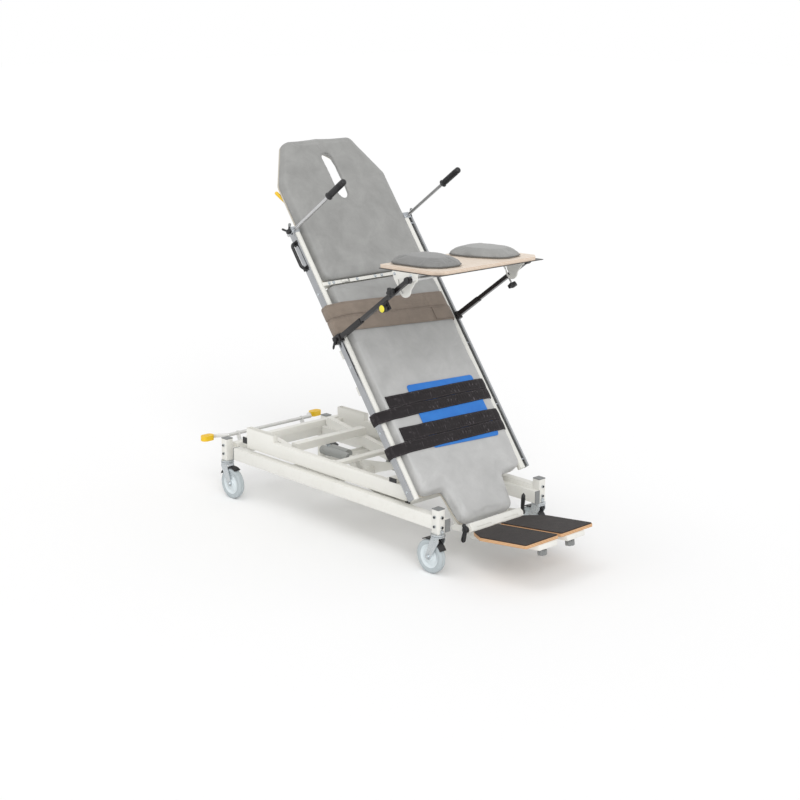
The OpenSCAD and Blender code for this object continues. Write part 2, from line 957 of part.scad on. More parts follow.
module brake_bar() {
    shaft_end = brake_lug_y + brake_lug_t/2 + brake_end;
    elbow = [bar_x, bar_y, bar_z];
    knee = [pedal_x, py - pedal_in, pedal_z];
    color(zinc) stand() {
        rod_y(brake_x, brake_z, brake_d, -shaft_end, shaft_end);
        rod_y(bar_x, bar_z, bar_d, -bar_y, bar_y);
        sides() {
            slab_y(brake_arm_y - brake_arm_t, brake_arm_y)
                link([brake_x, brake_z], [bar_x, bar_z], brake_arm_d, brake_arm_d);
            translate(elbow) sphere(d = bar_d + slot_cut);
            rod(elbow, knee, bar_d);
            translate(knee) sphere(d = bar_d + slot_cut);
            rod_y(pedal_x, pedal_z, bar_d, py - pedal_in, py + pedal_out);
        }
    }
}

module brake_grips() {
    y0 = py - pedal_start;
    y1 = py + pedal_out + pedal_end;
    color(yellow) stand() sides() difference() {
        rod_y(pedal_x, pedal_z, pedal_d, y0, y1);
        rod_y(pedal_x, pedal_z, bar_d, py - pedal_in, py + pedal_out);
        for (z = [pedal_z + pedal_t/2, pedal_z - pedal_t/2 - pedal_d])
            block(pedal_x - pedal_d, pedal_x + pedal_d, y0 - over, y1 + over, z, z + pedal_d);
    }
}

module rear_lift_arms() {
    pivot = [rear_pivot_x, pivot_z];
    tube_x0 = rear_pivot_x - arm_tube_back;
    tube_z0 = pivot_z + arm_tube_up;
    lever_dir = [-sin(lever_a), cos(lever_a)];
    slot_d = act_pin_d + 2*slot_play;
    reach = lever_h/cos(lever_a);
    color(cream) stand() {
        difference() {
            union() {
                sides() slab_y(arm_y - arm_t, arm_y) link(pivot, [rear_x, top_pin_z], arm_deep, arm_tip);
                rod_y(rear_pivot_x, pivot_z, torsion_d, arm_gap - inner_y0, inner_y0 - arm_gap);
                // Cross tube over the arms with its end caps
                block(tube_x0, tube_x0 + arm_tube_w, arm_gap - arm_y, arm_y - arm_gap,
                    tube_z0, tube_z0 + arm_tube_h);
                // Tapered plate along the middle
                lever_slab(web_y, web_t) polygon([pivot + [-web_back, web_back_top],
                    pivot + [web_front, web_front_top], pivot + [web_front, web_front_low],
                    pivot - [0, web_belly], pivot - [web_back, web_back_low]]);
                // Forked lever that the lift rod pushes
                for (s = [-1, 1]) lever_slab(-lift_act_y + s*fork_half, fork_lever_t)
                    link(pivot, pivot + (reach + fork_lever_past)*lever_dir, torsion_d, fork_lever_end);
            }
            rod_y(rear_pivot_x, pivot_z, shaft_d + 2*fit, -inner_y0, inner_y0);
            for (s = [-1, 1]) lever_slab(-lift_act_y + s*fork_half, fork_lever_t + 2*slot_cut)
                link(pivot + (lever_h - slot_cut)*lever_dir, pivot + (reach + slot_play)*lever_dir,
                    slot_d, slot_d);
        }
        sides() rod_y(rear_x, top_pin_z, pin_d, arm_y - arm_t/2, lift_y1);
    }
}

module lift_rod() {
    color(steel) stand() {
        rod_x(-lift_act_y, lift_act_z, act_rod_d, lift_act_x + lift_rod_in, lift_pin_x + rod_end);
        rod_y(lift_pin_x, lift_act_z, act_pin_d, -lift_act_y - pin_half, -lift_act_y + pin_half);
    }
}

module front_lift_arms() {
    color(cream) stand() sides() {
        slab_y(front_arm_y - front_arm_t, front_arm_y)
            link([front_pivot_x, pivot_z], [front_x, top_pin_z], front_arm_deep, front_arm_deep);
        rod_y(front_pivot_x, pivot_z, pin_d, front_arm_y - front_arm_t/2, post_in - slot_cut);
        rod_y(front_x, top_pin_z, pin_d, front_arm_y - front_arm_t/2, lift_y1);
    }
}

module lift_frame_beams() {
    x0 = lift_x0 - box_wall;
    x1 = x0 + box_len;
    color(cream) stand() sides() difference() {
        union() {
            block(lift_x0, lift_x1, lift_y0, lift_y1, lift_z, lift_top);
            difference() {
                block(x0, x1, lift_y0, lift_y1, lift_top, lift_top + box_h);
                block(x0 + box_wall, x1 - box_wall, lift_y0 + box_wall, lift_y1 - box_wall,
                    lift_top + box_wall, lift_top + box_h + over);
            }
        }
        rod_y(rear_x, top_pin_z, pin_d + 2*fit, lift_y0 - over, lift_y1 + over);
        rod_y(front_x, top_pin_z, pin_d + 2*fit, lift_y0 - over, lift_y1 + over);
        rod_y(hinge_x, hinge_z, hinge_d + 2*fit, lift_y0 - over, lift_y1 + over);
    }
}

module lift_frame_crosses() {
    y = lift_y1 - cross_in;
    end_z = lift_z + end_cross_up;
    mid_x = front_x + mid_cross_in;
    front_x0 = front_pivot_x - front_cross_back;
    stop_x = front_pivot_x - stop_back;
    color(cream) stand() {
        block(lift_x0 - end_cross_w, lift_x0, -y, y, end_z, end_z + end_cross_h);
        block(mid_x, mid_x + mid_cross_w, -lift_y0, lift_y0, lift_top - mid_cross_h, lift_top);
        block(front_x0, front_x0 + front_cross_w, -lift_y0, lift_y0, lift_z, lift_top);
        // Stops on the beams
        sides() block(stop_x, stop_x + stop_w, lift_y0, y, lift_top, lift_top + stop_h);
        // Hanger of the tilt actuator
        block(mid_x, mid_x + tilt_hang_t, tilt_act_y - tilt_hang_w/2, tilt_act_y + tilt_hang_w/2,
            hinge_z - tilt_h + tilt_act_d/2 - tilt_sunk, lift_top - mid_cross_h);
    }
}

module lift_frame_covers() {
    y = lift_y1 - cross_in;
    z0 = lift_z + end_cross_up;
    stop_x = front_pivot_x - stop_back;
    color(dark) stand() sides() {
        block(lift_x0 - end_cross_w, lift_x0, y, y + cap_t, z0, z0 + end_cross_h);
        block(stop_x, stop_x + stop_w, y, y + cap_t, lift_top, lift_top + stop_h);
        // Rubber rest under the beam on the inner rail
        rod_z(hinge_x + over, inner_y0 + inner_w/2, rest_d, inner_z + inner_h + seat, lift_z);
    }
}

module tilt_cylinder() {
    z = hinge_z - tilt_h;
    x0 = front_x + mid_cross_in;
    x1 = x0 + tilt_act_len;
    top = z + tilt_act_d/2 - tilt_sunk;
    motor_y = tilt_act_y + tilt_motor_y;
    color(dark) stand() difference() {
        union() {
            rod_x(tilt_act_y, z, tilt_act_d, x0, x1);
            rod_x(motor_y, z, motor_d, x0 + tilt_motor_in, x0 + tilt_motor_in + tilt_motor_len);
            block(x0 + tilt_gear_in, x0 + tilt_gear_in + tilt_gear_len, tilt_act_y, motor_y,
                z - tilt_gear_h/2, z + tilt_gear_h/2);
        }
        rod_x(tilt_act_y, z, act_rod_d + 2*fit, x0 + tilt_bore_in, x1 + over);
        // Flat that the hanger sits on
        block(x0 - over, x0 + tilt_hang_t, tilt_act_y - tilt_hang_w/2, tilt_act_y + tilt_hang_w/2,
            top, z + tilt_act_d);
    }
}

module tilt_rod() {
    z = hinge_z - tilt_h;
    x = hinge_x - tilt_travel*(tilt - tilt_mid)*PI/180;
    color(steel) stand() {
        rod_x(tilt_act_y, z, act_rod_d, front_x + mid_cross_in + tilt_rod_in, x + rod_end);
        rod_y(x, z, act_pin_d, tilt_act_y - pin_half, tilt_act_y + pin_half);
    }
}

// The room of both side tubes
module side_cut() {
    sides() translate([-over, side_y, side_n]) rotate([0, 90, 0]) cylinder(h = acc_len + over, d = side_d);
}

module top_frame_tubes() {
    u1 = sleeve_u + sleeve_len;
    color(cream) on_top() sides() {
        translate([0, side_y, side_n]) rotate([0, 90, 0]) cylinder(h = acc_len, d = side_d);
        // Slide sleeves of the foot end
        difference() {
            block(sleeve_u, u1, sleeve_y0, sleeve_y1, sleeve_n, -mat_t);
            block(sleeve_u - over, u1 + over, slide_y - fit, slide_y + bar_w + fit, slide_n, slide_n + bar_w);
        }
    }
}

module cross(u0) {
    u1 = u0 + top_cross_w;
    difference() {
        block(u0, u1, -side_y - cross_out, side_y + cross_out, sleeve_n, side_n - cross_low);
        block(u0 - over, u1 + over, -half - cross_gap, half + cross_gap, -mat_t, 0);
        side_cut();
        sides() block(u0 - over, u1 + over, sleeve_y0, sleeve_y1, sleeve_n, -mat_t);
    }
}

// Cover plate in the gap and the beam under it, cut for the knuckles, head arms and gas fork
module gap_plate() {
    u0 = low_len + seat;
    u1 = head_u - seat;
    u2 = low_len - gap_beam_back;
    low = -mat_t - gap_beam_h;
    difference() {
        union() {
            block(u0, u1, -side_y, side_y, -mat_t, -mat_t + gap_plate_h);
            block(u2, u1, -gap_beam_y, gap_beam_y, low, -mat_t - seat);
            block(u0, u1, -gap_beam_y, gap_beam_y, low, -mat_t);
        }
        side_cut();
        sides() block(knuckle_u - knuckle_d/2 - knuckle_gap, head_u, head_arm_y + head_arm_w - over,
            knuckle_y + knuckle_t + seat, sleeve_n, 0);
        block(u2 - over, head_u, -gas_y - gas_room, gas_room - gas_y, sleeve_n, -mat_t);
        sides() rod_y(knuckle_u, knuckle_n, knuckle_pin + 2*fit, knuckle_y,
            knuckle_y + knuckle_t + knuckle_gap + bracket_t + pin_past + seat);
    }
}

module top_frame_crosses() {
    lug_y1 = lift_y0 - lug_gap;
    hinge = [hinge_u, hinge_n];
    lever_dir = [sin(tilt_mid), -cos(tilt_mid)];
    reach = tilt_h/cos(tilt_mid);
    slot_d = act_pin_d + 2*tilt_play;
    bracket_y = knuckle_y + knuckle_t + knuckle_gap;
    color(cream) on_top() {
        // Cross tubes under the mattress, the first one over the hinge
        cross(hinge_cross_u);
        cross(mid_cross_u);
        difference() {
            cross(gap_cross_u);
            rod_x(-gas_y, gas_n, gas_d, gas_u0, gas_u1);
        }
        sides() slab_y(lug_y1 - lug_t, lug_y1) {
            translate(hinge) circle(d = lug_d);
            polygon([hinge - [lug_d/2, 0], hinge + [lug_d/2, 0], [hinge_cross_u + top_cross_w, sleeve_n],
                [hinge_cross_u, sleeve_n]]);
        }
        rod_y(hinge_u, hinge_n, hinge_d, -lift_y1, lift_y1);
        // Forked tilt lever on the hinge shaft, slotted for the rod's pin
        for (s = [-1, 1]) lever_slab(-tilt_act_y + s*tilt_fork_half, tilt_lever_t) difference() {
            link(hinge, hinge + (reach + slot_play)*lever_dir, tilt_lever_d, tilt_lever_end);
            link(hinge + (tilt_h - slot_play)*lever_dir, hinge + (reach + slot_cut)*lever_dir, slot_d, slot_d);
        }
        gap_plate();
        sides() {
            // Joist from the last cross tube to the gap beam
            block(gap_cross_u + top_cross_w, head_u - seat, gap_beam_y, gap_beam_y + joist_w,
                -mat_t - gap_beam_h, -mat_t - seat);
            slab_y(bracket_y, bracket_y + bracket_t) difference() {
                union() {
                    translate([knuckle_u, knuckle_n]) circle(d = knuckle_d);
                    translate([knuckle_u - knuckle_w/2, -mat_t]) square([knuckle_w, mat_t + knuckle_n]);
                }
                translate([knuckle_u, knuckle_n]) circle(d = knuckle_pin + 2*fit);
            }
            // Blocks that clamp the grip rods
            difference() {
                block(acc_len, acc_len + clamp_len, side_y - clamp_in, acc_y1 - clamp_step,
                    side_n - clamp_half, side_n + clamp_half);
                rod_z(grip_u, grip_y, grip_rod_d + 2*fit, side_n - clamp_half - over,
                    side_n + clamp_half + over);
            }
        }
    }
}

module accessory_rails() {
    color(steel) on_top() difference() {
        sides() {
            block(0, acc_len, acc_y0, acc_y1, acc_low, acc_high);
            for (share = spacer_shares) rod_y(share*acc_len, acc_n, spacer_d, side_y, acc_y0);
        }
        side_cut();
    }
}

// Rings of a cushion: the outline drawn in by an inset, with round corners
function unit(v) = v/norm(v);
function turn(v) = [-v[1], v[0]];
function corner_arc(q, r, i, inset, steps) =
    let(n = len(q), a = q[(i + n - 1)%n], b = q[i], c = q[(i + 1)%n],
        n1 = turn(unit(b - a)), n2 = turn(unit(c - b)),
        s = n1[0]*n2[1] - n1[1]*n2[0] > 0 ? 1 : -1,
        m = (n1 + n2)/(1 + n1*n2),
        rad = max(r[i] - s*inset, least_r), centre = b + m*inset + m*s*rad)
    [for (k = [0:steps]) let(t = k/steps) centre - s*rad*unit(n1*(1 - t) + n2*t)];
function ring(q, r, inset, z, steps) = [for (i = [0:len(q) - 1])
    each [for (p = corner_arc(q, r, i, inset, steps)) [p[0], p[1], z]]];

module cushion(q, r, levels, steps) {
    rings = [for (l = levels) ring(q, r, l[0], l[1], steps)];
    m = len(rings[0]);
    k = len(rings);
    polyhedron(points = [for (g = rings) each g],
        faces = concat([[for (i = [0:m - 1]) i]],
            [for (j = [0:k - 2], i = [0:m - 1]) each let(a = j*m + i, b = j*m + (i + 1)%m)
                [[a, a + m, b + m], [a, b + m, b]]],
            [[for (i = [m - 1:-1:0]) (k - 1)*m + i]]));
}

module lower_mattress() {
    q = [[low_len, half], [0, half], [0, tongue_w0/2], [-tongue_len, tongue_w1/2],
        [-tongue_len, -tongue_w1/2], [0, -tongue_w0/2], [0, -half], [low_len, -half]];
    r = [head_corner, foot_corner, notch_corner, tongue_corner,
        tongue_corner, notch_corner, foot_corner, head_corner];
    color(leather) on_top() cushion(q, r, mat_levels, 5);
}

// Face slot, wider across the underside
module face_slot() {
    s1 = end_u - slot_back - slot_w/2;
    s0 = s1 - slot_len + slot_w;
    translate([0, 0, -slot_lip]) linear_extrude(slot_lip + crown + over) link([s0, 0], [s1, 0], slot_w, slot_w);
    hull() for (p = [[0, -slot_lip, 0], [slot_flare, -mat_t - over, slot_past]])
        translate([0, 0, p[1]]) linear_extrude(over)
            link([s0 + p[0], 0], [s1 - p[0] + p[2], 0], slot_w + 2*p[0], slot_w + 2*p[0]);
}

module head_mattress() {
    x = end_u - taper_len;
    q = [[end_u, head_w1/2], [x, half], [head_u, half], [head_u, -half], [x, -half], [end_u, -head_w1/2]];
    r = [end_corner, shoulder_corner, end_corner, end_corner, shoulder_corner, end_corner];
    color(leather) on_top() difference() {
        cushion(q, r, mat_levels, 6);
        face_slot();
    }
}

// A strap laid along a path across the table, its lower and upper edge sloping with it
module strap(path, near, far) {
    k = len(path);
    dirs = [for (i = [0:k - 1]) unit(path[min(i + 1, k - 1)] - path[max(i - 1, 0)])];
    function mixed(a, b, y) = let(t = min(max((near_y - y)/(near_y - far_y), 0), 1)) a + (b - a)*t;
    pts = [for (i = [0:k - 1]) let(y = path[i][0], n = path[i][1], o = turn(dirs[i])*-strap_t,
            a = mixed(near[0], far[0], y), b = mixed(near[1], far[1], y))
        each [[a, y, n], [b, y, n], [b, y + o[0], n + o[1]], [a, y + o[0], n + o[1]]]];
    faces = concat([[0, 1, 2, 3]],
        [for (i = [0:k - 2], j = [0:3]) each let(a = i*4 + j, b = i*4 + (j + 1)%4)
            [[b, a, a + 4], [b, a + 4, b + 4]]],
        [[4*k - 1, 4*k - 2, 4*k - 3, 4*k - 4]]);
    polyhedron(points = pts, faces = faces);
}

// Stretches of a strap: round the near rail, over the knee pad and down the far edge
function over_rail() = concat([[side_y - 2*slip, side_n - side_d/2 - slip], [acc_y1 + seat, acc_low - slip],
    [acc_y1 + seat, acc_high + seat]],
    [for (s = near_edge_shares) [half - edge_in*s[0], top_n + lay - edge_drop*s[1]]]);
function over_pad() = let(n0 = top_n + 2*lay, n1 = n0 + pad_t, y0 = pad_y0 - pad_clear, y1 = pad_y1 + pad_clear)
    [[y1 + pad_ramp, n0], [y1, n1], [y0, n1], [y0 - pad_ramp, n0]];
function far_edge() = [for (s = far_edge_shares) [edge_in*s[0] - half - seat, top_n + lay - edge_drop*s[1]]];

module waist_belt() {
    near_step = belt_w + belt_gap;
    far_step = belt_far_w + belt_gap;
    far_u = belt_u - belt_slope;
    color(cloth) on_top() for (k = [0, 1])
        strap(concat(over_rail(), far_edge()), [belt_u + k*near_step, belt_u + k*near_step + belt_w],
            [far_u + k*far_step, far_u + k*far_step + belt_far_w]);
}

// Each leg strap: a band round the rail and a second one beside it over the pad
module leg_straps() {
    color(dark) on_top() for (k = [0, 1]) {
        u = leg_u + leg_step*k;
        far_u = leg_u - leg_slope + leg_far_step*k;
        strap(concat(over_rail(), over_pad(), far_edge()), [u, u + leg_w], [far_u, far_u + leg_far_w]);
        v = leg_u + band_gap + band_step*k;
        far_v = leg_u + band_gap - band_slope + leg_far_step*k;
        strap(concat([[half - band_start, top_n + 2*lay]], over_pad(), far_edge()),
            [v, v + band_w], [far_v, far_v + band_far_w]);
    }
}

module knee_pad() {
    color(blue) on_top() translate([0, 0, top_n]) linear_extrude(pad_t)
        polygon([[pad_u0, pad_y1], [pad_u1, pad_y1], [pad_far_u1, pad_y0], [pad_far_u0, pad_y0]]);
}

module side_handle() {
    u1 = acc_len - handle_back;
    u0 = u1 - handle_len;
    n0 = acc_n - handle_w/2;
    n1 = acc_n + handle_w/2;
    color(dark) on_top() difference() {
        block(u0, u1, acc_y1, acc_y1 + handle_out, n0, n1);
        block(u0 + handle_leg, u1 - handle_leg, acc_y1 - over, acc_y1 + handle_out - handle_leg,
            n0 - over, n1 + over);
    }
}

module head_frame() {
    low = -mat_t - head_arm_h;
    knuckle = [knuckle_u, knuckle_n];
    root = [knuckle_u, gas_n + gas_fork_up];
    lever_dir = [-sin(gas_a), -cos(gas_a)];
    slot_d = gas_pin_d + 2*gas_play;
    slot_u = end_u - slot_back - slot_len - head_cross_back;
    arm_y1 = head_arm_y + head_arm_w;
    knuckle_y1 = knuckle_y + knuckle_t;
    color(cream) on_top() {
        sides() {
            block(knuckle_u + head_arm_in, end_u - head_arm_back, head_arm_y, arm_y1, low, -mat_t);
            // Knuckles beside the brackets, with their pins
            slab_y(knuckle_y, knuckle_y1) {
                translate(knuckle) circle(d = knuckle_d);
                translate([knuckle_u - knuckle_w/2, low]) square([knuckle_w, knuckle_n - low]);
            }
            block(knuckle_u - knuckle_w/2, knuckle_u + head_root, arm_y1, knuckle_y1, low, -mat_t - seat);
            rod_y(knuckle_u, knuckle_n, knuckle_pin, knuckle_y + knuckle_t/2,
                knuckle_y1 + knuckle_gap + bracket_t + pin_past);
        }
        for (u = [knuckle_u + head_cross_in, slot_u])
            block(u, u + head_cross_w, -head_arm_y, head_arm_y, low, -mat_t);
        // Forked lever that the gas spring pushes
        for (s = [-1, 1]) lever_slab(-gas_y + s*gas_fork_half, gas_fork_t) difference() {
            union() {
                link([gas_pin_u - over, gas_n + gas_fork_up], root, gas_d, gas_d);
                link(root, root + [gas_root, 0], gas_d, gas_d);
            }
            link(knuckle + (gas_h - slot_play)*lever_dir, knuckle + (gas_h/cos(gas_a) + slot_cut)*lever_dir,
                slot_d, slot_d);
        }
    }
}

module release_lever() {
    n = -mat_t - release_deep;
    a = [end_u - release_back, release_y];
    b = a + polar(release_arm_l, release_arm_a);
    color(yellow) on_top() {
        rod_z(a[0], a[1], release_boss, n - release_low, -mat_t - seat);
        rod([a[0], a[1], n], [b[0], b[1], n], release_arm_d);
        translate([b[0], b[1], n]) rotate([0, 90, release_grip_a]) {
            translate([0, 0, -release_tip]) cylinder(h = release_tip, d1 = release_end_d, d2 = release_grip_d);
            cylinder(h = release_grip_l, d = release_grip_d);
            translate([0, 0, release_grip_l]) cylinder(h = release_tip, d1 = release_grip_d, d2 = release_end_d);
        }
    }
}

module gas_cylinder() {
    color(dark) on_top() difference() {
        rod_x(-gas_y, gas_n, gas_d, gas_u0, gas_u1);
        rod_x(-gas_y, gas_n, gas_rod_d + 2*fit, gas_u0 + gas_bore_in, gas_u1 + over);
    }
}

module gas_rod() {
    color(steel) on_top() {
        rod_x(-gas_y, gas_n, gas_rod_d, gas_u0 + gas_rod_in, gas_pin_u + gas_rod_end);
        rod_y(gas_pin_u, gas_n, gas_pin_d, -gas_y - gas_pin_half, gas_pin_half - gas_y);
    }
}

// Foot end: slide bars, a turning cross tube, two carriers and two plates
module foot_slide() {
    u0 = foot_u + foot_step_u;
    root = [u0 + foot_step_w/2, slide_n + bar_w/2];
    color(cream) on_top() sides() difference() {
        union() {
            block(u0, sleeve_len, slide_y, slide_y + bar_w, slide_n, slide_n + bar_w);
            block(u0, u0 + foot_step_w, slide_y, arm_in + foot_arm_t, slide_n, slide_n + bar_w);
            slab_y(arm_in, arm_in + foot_arm_t) link(root, [foot_u, 0], bar_w, foot_arm_d);
        }
        rod_y(foot_u, 0, foot_pin + 2*fit, arm_in - over, arm_in + foot_arm_t + over);
    }
}

module foot_cross_tube() {
    color(cream) on_top() {
        difference() {
            block(foot_u - tube_w/2, foot_u + tube_w/2, -cross_half, cross_half, -tube_h/2, tube_h/2);
            sides() block(foot_u - groove_u, foot_u - groove_u + groove_w, groove_y, groove_y + groove_len,
                tube_h/2 - groove_deep, tube_h/2 + over);
        }
        sides() rod_y(foot_u, 0, foot_pin, cross_half - over, arm_in + foot_arm_t);
    }
}

module at_plate() {
    translate([shift + x_of(foot_u, 0), 0, z_of(foot_u, 0)]) rotate([0, -plate_a, 0]) children();
}

module foot_carriers() {
    x1 = plate_x0 + plate_len + carrier_end;
    y1 = carrier_y + carrier_w;
    // Corners of the cross tube's lower face in the plates' own frame
    function at(u, n) = let(x = -u*cos(tilt) + n*sin(tilt), z = u*sin(tilt) + n*cos(tilt))
        [x*cos(plate_a) + z*sin(plate_a), z*cos(plate_a) - x*sin(plate_a)];
    p = at(-tube_w/2, tube_h/2);
    q = at(-tube_w/2, -tube_h/2);
    color(cream) at_plate() sides() difference() {
        slab_y(carrier_y, y1)
            polygon([q, [q[0], carrier_z], [x1, carrier_z], [x1, plate_z], [p[0], plate_z], p]);
        block(p[0] + carrier_step, knob_x - knob_room, carrier_y + carrier_wall, y1 - carrier_wall,
            carrier_z - over, plate_z - carrier_wall);
        rod_z(knob_x, carrier_y + carrier_w/2, knob_stem + 2*fit, carrier_z - over, plate_z - carrier_wall);
    }
}

module footplate() {
    y0 = plate_in;
    y1 = plate_in + plate_w;
    x0 = plate_x0;
    x1 = plate_x0 + plate_len;
    c = plate_corner;
    b = c*corner_share;
    translate([0, 0, plate_z]) linear_extrude(plate_t + grip_t)
        polygon([[x0, y0], [x1 - c, y0], [x1 - b, y0 + b], [x1, y0 + c], [x1, y1 - c], [x1 - b, y1 - b],
            [x1 - c, y1], [x0 + heel_x, y1], [x0, y1 - heel_y]]);
}
module footplate_near() { color(wood) at_plate() mirror([0, 1, 0]) footplate(); }
module footplate_far() { color(wood) at_plate() footplate(); }

module foot_knob() {
    y = carrier_y + carrier_w/2;
    z1 = carrier_z - collar_h;
    z0 = z1 - foot_knob_h;
    rod_z(knob_x, y, knob_stem, z1, plate_z - stem_top);
    rod_z(knob_x, y, collar_d, z1, carrier_z - seat);
    difference() {
        rod_z(knob_x, y, foot_knob_d, z0, z1);
        for (k = [0:5])
            rod_z(knob_x + lobe_r*cos(60*k + 30), y + lobe_r*sin(60*k + 30), lobe_d, z0 - over, z1 + over);
    }
}
module foot_knob_near() { color(grey) at_plate() mirror([0, 1, 0]) foot_knob(); }
module foot_knob_far() { color(grey) at_plate() foot_knob(); }

// A clamp lever at a point on the table's side: hub along y, handle from a short end to the tip
module clamp_lever(c, y0, hub_d, hub_l, back, tip, d) {
    y = y0 + hub_l/2;
    a = c + tip;
    b = c + back;
    rod_y(c[0], c[1], hub_d, y0, y0 + hub_l);
    rod([c[0], y, c[1]], [a[0], y, a[1]], d);
    translate([a[0], y, a[1]]) sphere(d = d*1.3);
    rod([c[0], y, c[1]], [b[0], y, b[1]], d);
    translate([b[0], y, b[1]]) sphere(d = d*1.15);
}
module foot_lever(back, tip) {
    clamp_lever([foot_u, 0], foot_lever_y, foot_hub_d, foot_hub_l, back, tip, foot_bar_d);
}
module foot_lever_near() {
    color(dark) on_top() foot_lever(polar(foot_near_back, 5), polar(foot_near_tip, 228));
}
module foot_lever_far() {
    color(dark) on_top() mirror([0, 1, 0]) foot_lever(polar(foot_far_back, 214), polar(foot_far_tip, 40));
}

module hand_grip() {
    top = grip_rod_h + grip_len - grip_d/2;
    rod_z(grip_u, grip_y, grip_rod_d, side_n - grip_below, grip_rod_h);
    rod_z(grip_u, grip_y, grip_d, grip_rod_h, top);
    translate([grip_u, grip_y, top]) sphere(d = grip_d);
    rod_z(grip_u, grip_y, grip_d + 2*flange_out, grip_rod_h, grip_rod_h + flange_t);
}
module hand_grip_near() { color(dark) on_top() hand_grip(); }
module hand_grip_far() { color(dark) on_top() mirror([0, 1, 0]) hand_grip(); }

module grip_lever() {
    clamp_lever([grip_u, side_n], acc_y1 - clamp_step + seat, grip_hub_d, grip_hub_l,
        polar(grip_back, 50), polar(grip_tip, -45), grip_bar_d);
}
module grip_lever_near() { color(dark) on_top() grip_lever(); }
module grip_lever_far() { color(dark) on_top() mirror([0, 1, 0]) grip_lever(); }

// Tray: rail clamps with the lower struts, sliding upper struts and the tray itself
module tray_clamps() {
    u0 = tray_u - tray_clamp_half;
    u1 = tray_u + tray_clamp_half;
    low = acc_low - tray_clamp_wall;
    color(dark) on_top() sides() difference() {
        union() {
            block(u0, u1, acc_y0 - tray_clamp_lip, acc_y1 + tray_clamp_out, low, clamp_top);
            block(tray_u - strut_w/2, tray_u + strut_w/2, strut_y - strut_w/2, strut_y + strut_w/2,
                clamp_top, strut_joint);
        }
        block(u0 - over, u1 + over, acc_y0 - seat, acc_y1 + seat, acc_low - seat, acc_high + seat);
        block(u0 - over, u1 + over, acc_y0 - tray_clamp_lip - over, acc_y0,
            acc_n - lip_half, acc_n + lip_half);
        block(tray_u - strut_in/2 - fit, tray_u + strut_in/2 + fit, strut_y0 - fit, strut_y1 + fit,
            clamp_top + strut_floor, strut_joint + over);
    }
}
module tray_clamp_lever() {
    clamp_lever([tray_u, acc_n], acc_y1 + tray_clamp_out + seat, tray_hub_d, grip_hub_l,
        polar(tray_back, 37), polar(tray_tip, 230), grip_bar_d);
}
module tray_clamp_lever_near() { color(dark) on_top() tray_clamp_lever(); }
module tray_clamp_lever_far() { color(dark) on_top() mirror([0, 1, 0]) tray_clamp_lever(); }

module tray_struts() {
    color(dark) on_top() difference() {
        union() {
            sides() {
                block(tray_u - strut_in/2, tray_u + strut_in/2, strut_y0, strut_y1,
                    clamp_top + strut_start, tray_n);
                slab_y(strut_y0, strut_y1) translate([tray_u, tray_n]) circle(d = strut_top_d);
            }
            // Ear of the yellow knob
            block(yellow_u - ear_end, tray_u, strut_y0 + ear_in, strut_y1 - ear_in,
                yellow_n - ear_half, yellow_n + ear_half);
        }
        sides() rod_y(tray_u, tray_n, tray_rod_d + 2*fit, strut_y0 - over, strut_y1 + over);
        rod_y(tray_u, tray_n - slot_r, bolt_d + 2*fit, strut_y0 - over, strut_y1 + over);
        rod_y(yellow_u, yellow_n, bolt_d + 2*fit, strut_y0, strut_y1);
        rod_x(-strut_y, far_knob_n, bolt_d + 2*fit, tray_u - strut_in, tray_u);
    }
}

module at_tray() {
    translate([shift + x_of(tray_u, tray_n), 0, z_of(tray_u, tray_n)]) rotate([0, -tray_a, 0]) children();
}

module tray_board() {
    c = tray_corner;
    x1 = tray_x0 + tray_len;
    y = tray_half + sheet_out;
    color(wood) at_tray() {
        translate([0, 0, tray_z]) linear_extrude(tray_t) polygon([[tray_x0, -tray_half], [x1 - c, -tray_half],
            [x1, -tray_half + c], [x1, tray_half - c], [x1 - c, tray_half], [tray_x0, tray_half]]);
        block(tray_x0, x1 + sheet_out, -y, y, sheet_z, tray_z);
    }
}

module tray_frame() {
    y0 = tray_half + side_plate_y;
    r = side_lobe_d/2;
    far = 3*slot_r;
    color(cream) at_tray() {
        sides() slab_y(y0, y0 + side_plate_t) difference() {
            union() {
                polygon([[side_x0, sheet_z], [side_x1, sheet_z], [side_x1, 0], [side_lobe_x + r, side_lobe_z],
                    [side_lobe_x - r, side_lobe_z], [side_heel_x, side_heel_z]]);
                circle(d = side_pivot_d);
                translate([side_lobe_x, side_lobe_z]) circle(d = side_lobe_d);
            }
            // Curved slot about the pivot for the clamp knob
            difference() {
                circle(r = slot_r + bolt_d/2 + slot_room);
                circle(r = slot_r - bolt_d/2 - slot_room);
                polygon([[0, 0], polar(far, slot_a0), polar(far, 110), polar(2*far, 45), polar(far, 300),
                    polar(far, slot_a1)]);
            }
        }
        // Ledges that carry the board
        sides() block(side_x0, side_x1, tray_half - ledge_in, y0, sheet_z - ledge_t, sheet_z);
        rod_y(0, 0, tray_rod_d, -strut_y1 - rod_past, strut_y1 + rod_past);
    }
}

module elbow_pads() {
    z = tray_z + tray_t;
    levels = [for (s = elbow_edge_shares) [elbow_round*s[0], z + elbow_t*s[1]]];
    q = [for (s = elbow_outline_shares) [tray_x0 + tray_len*s[0], tray_half*s[1]]];
    color(leather) at_tray() sides() cushion(q, elbow_corner*elbow_corner_shares, levels, 3);
}

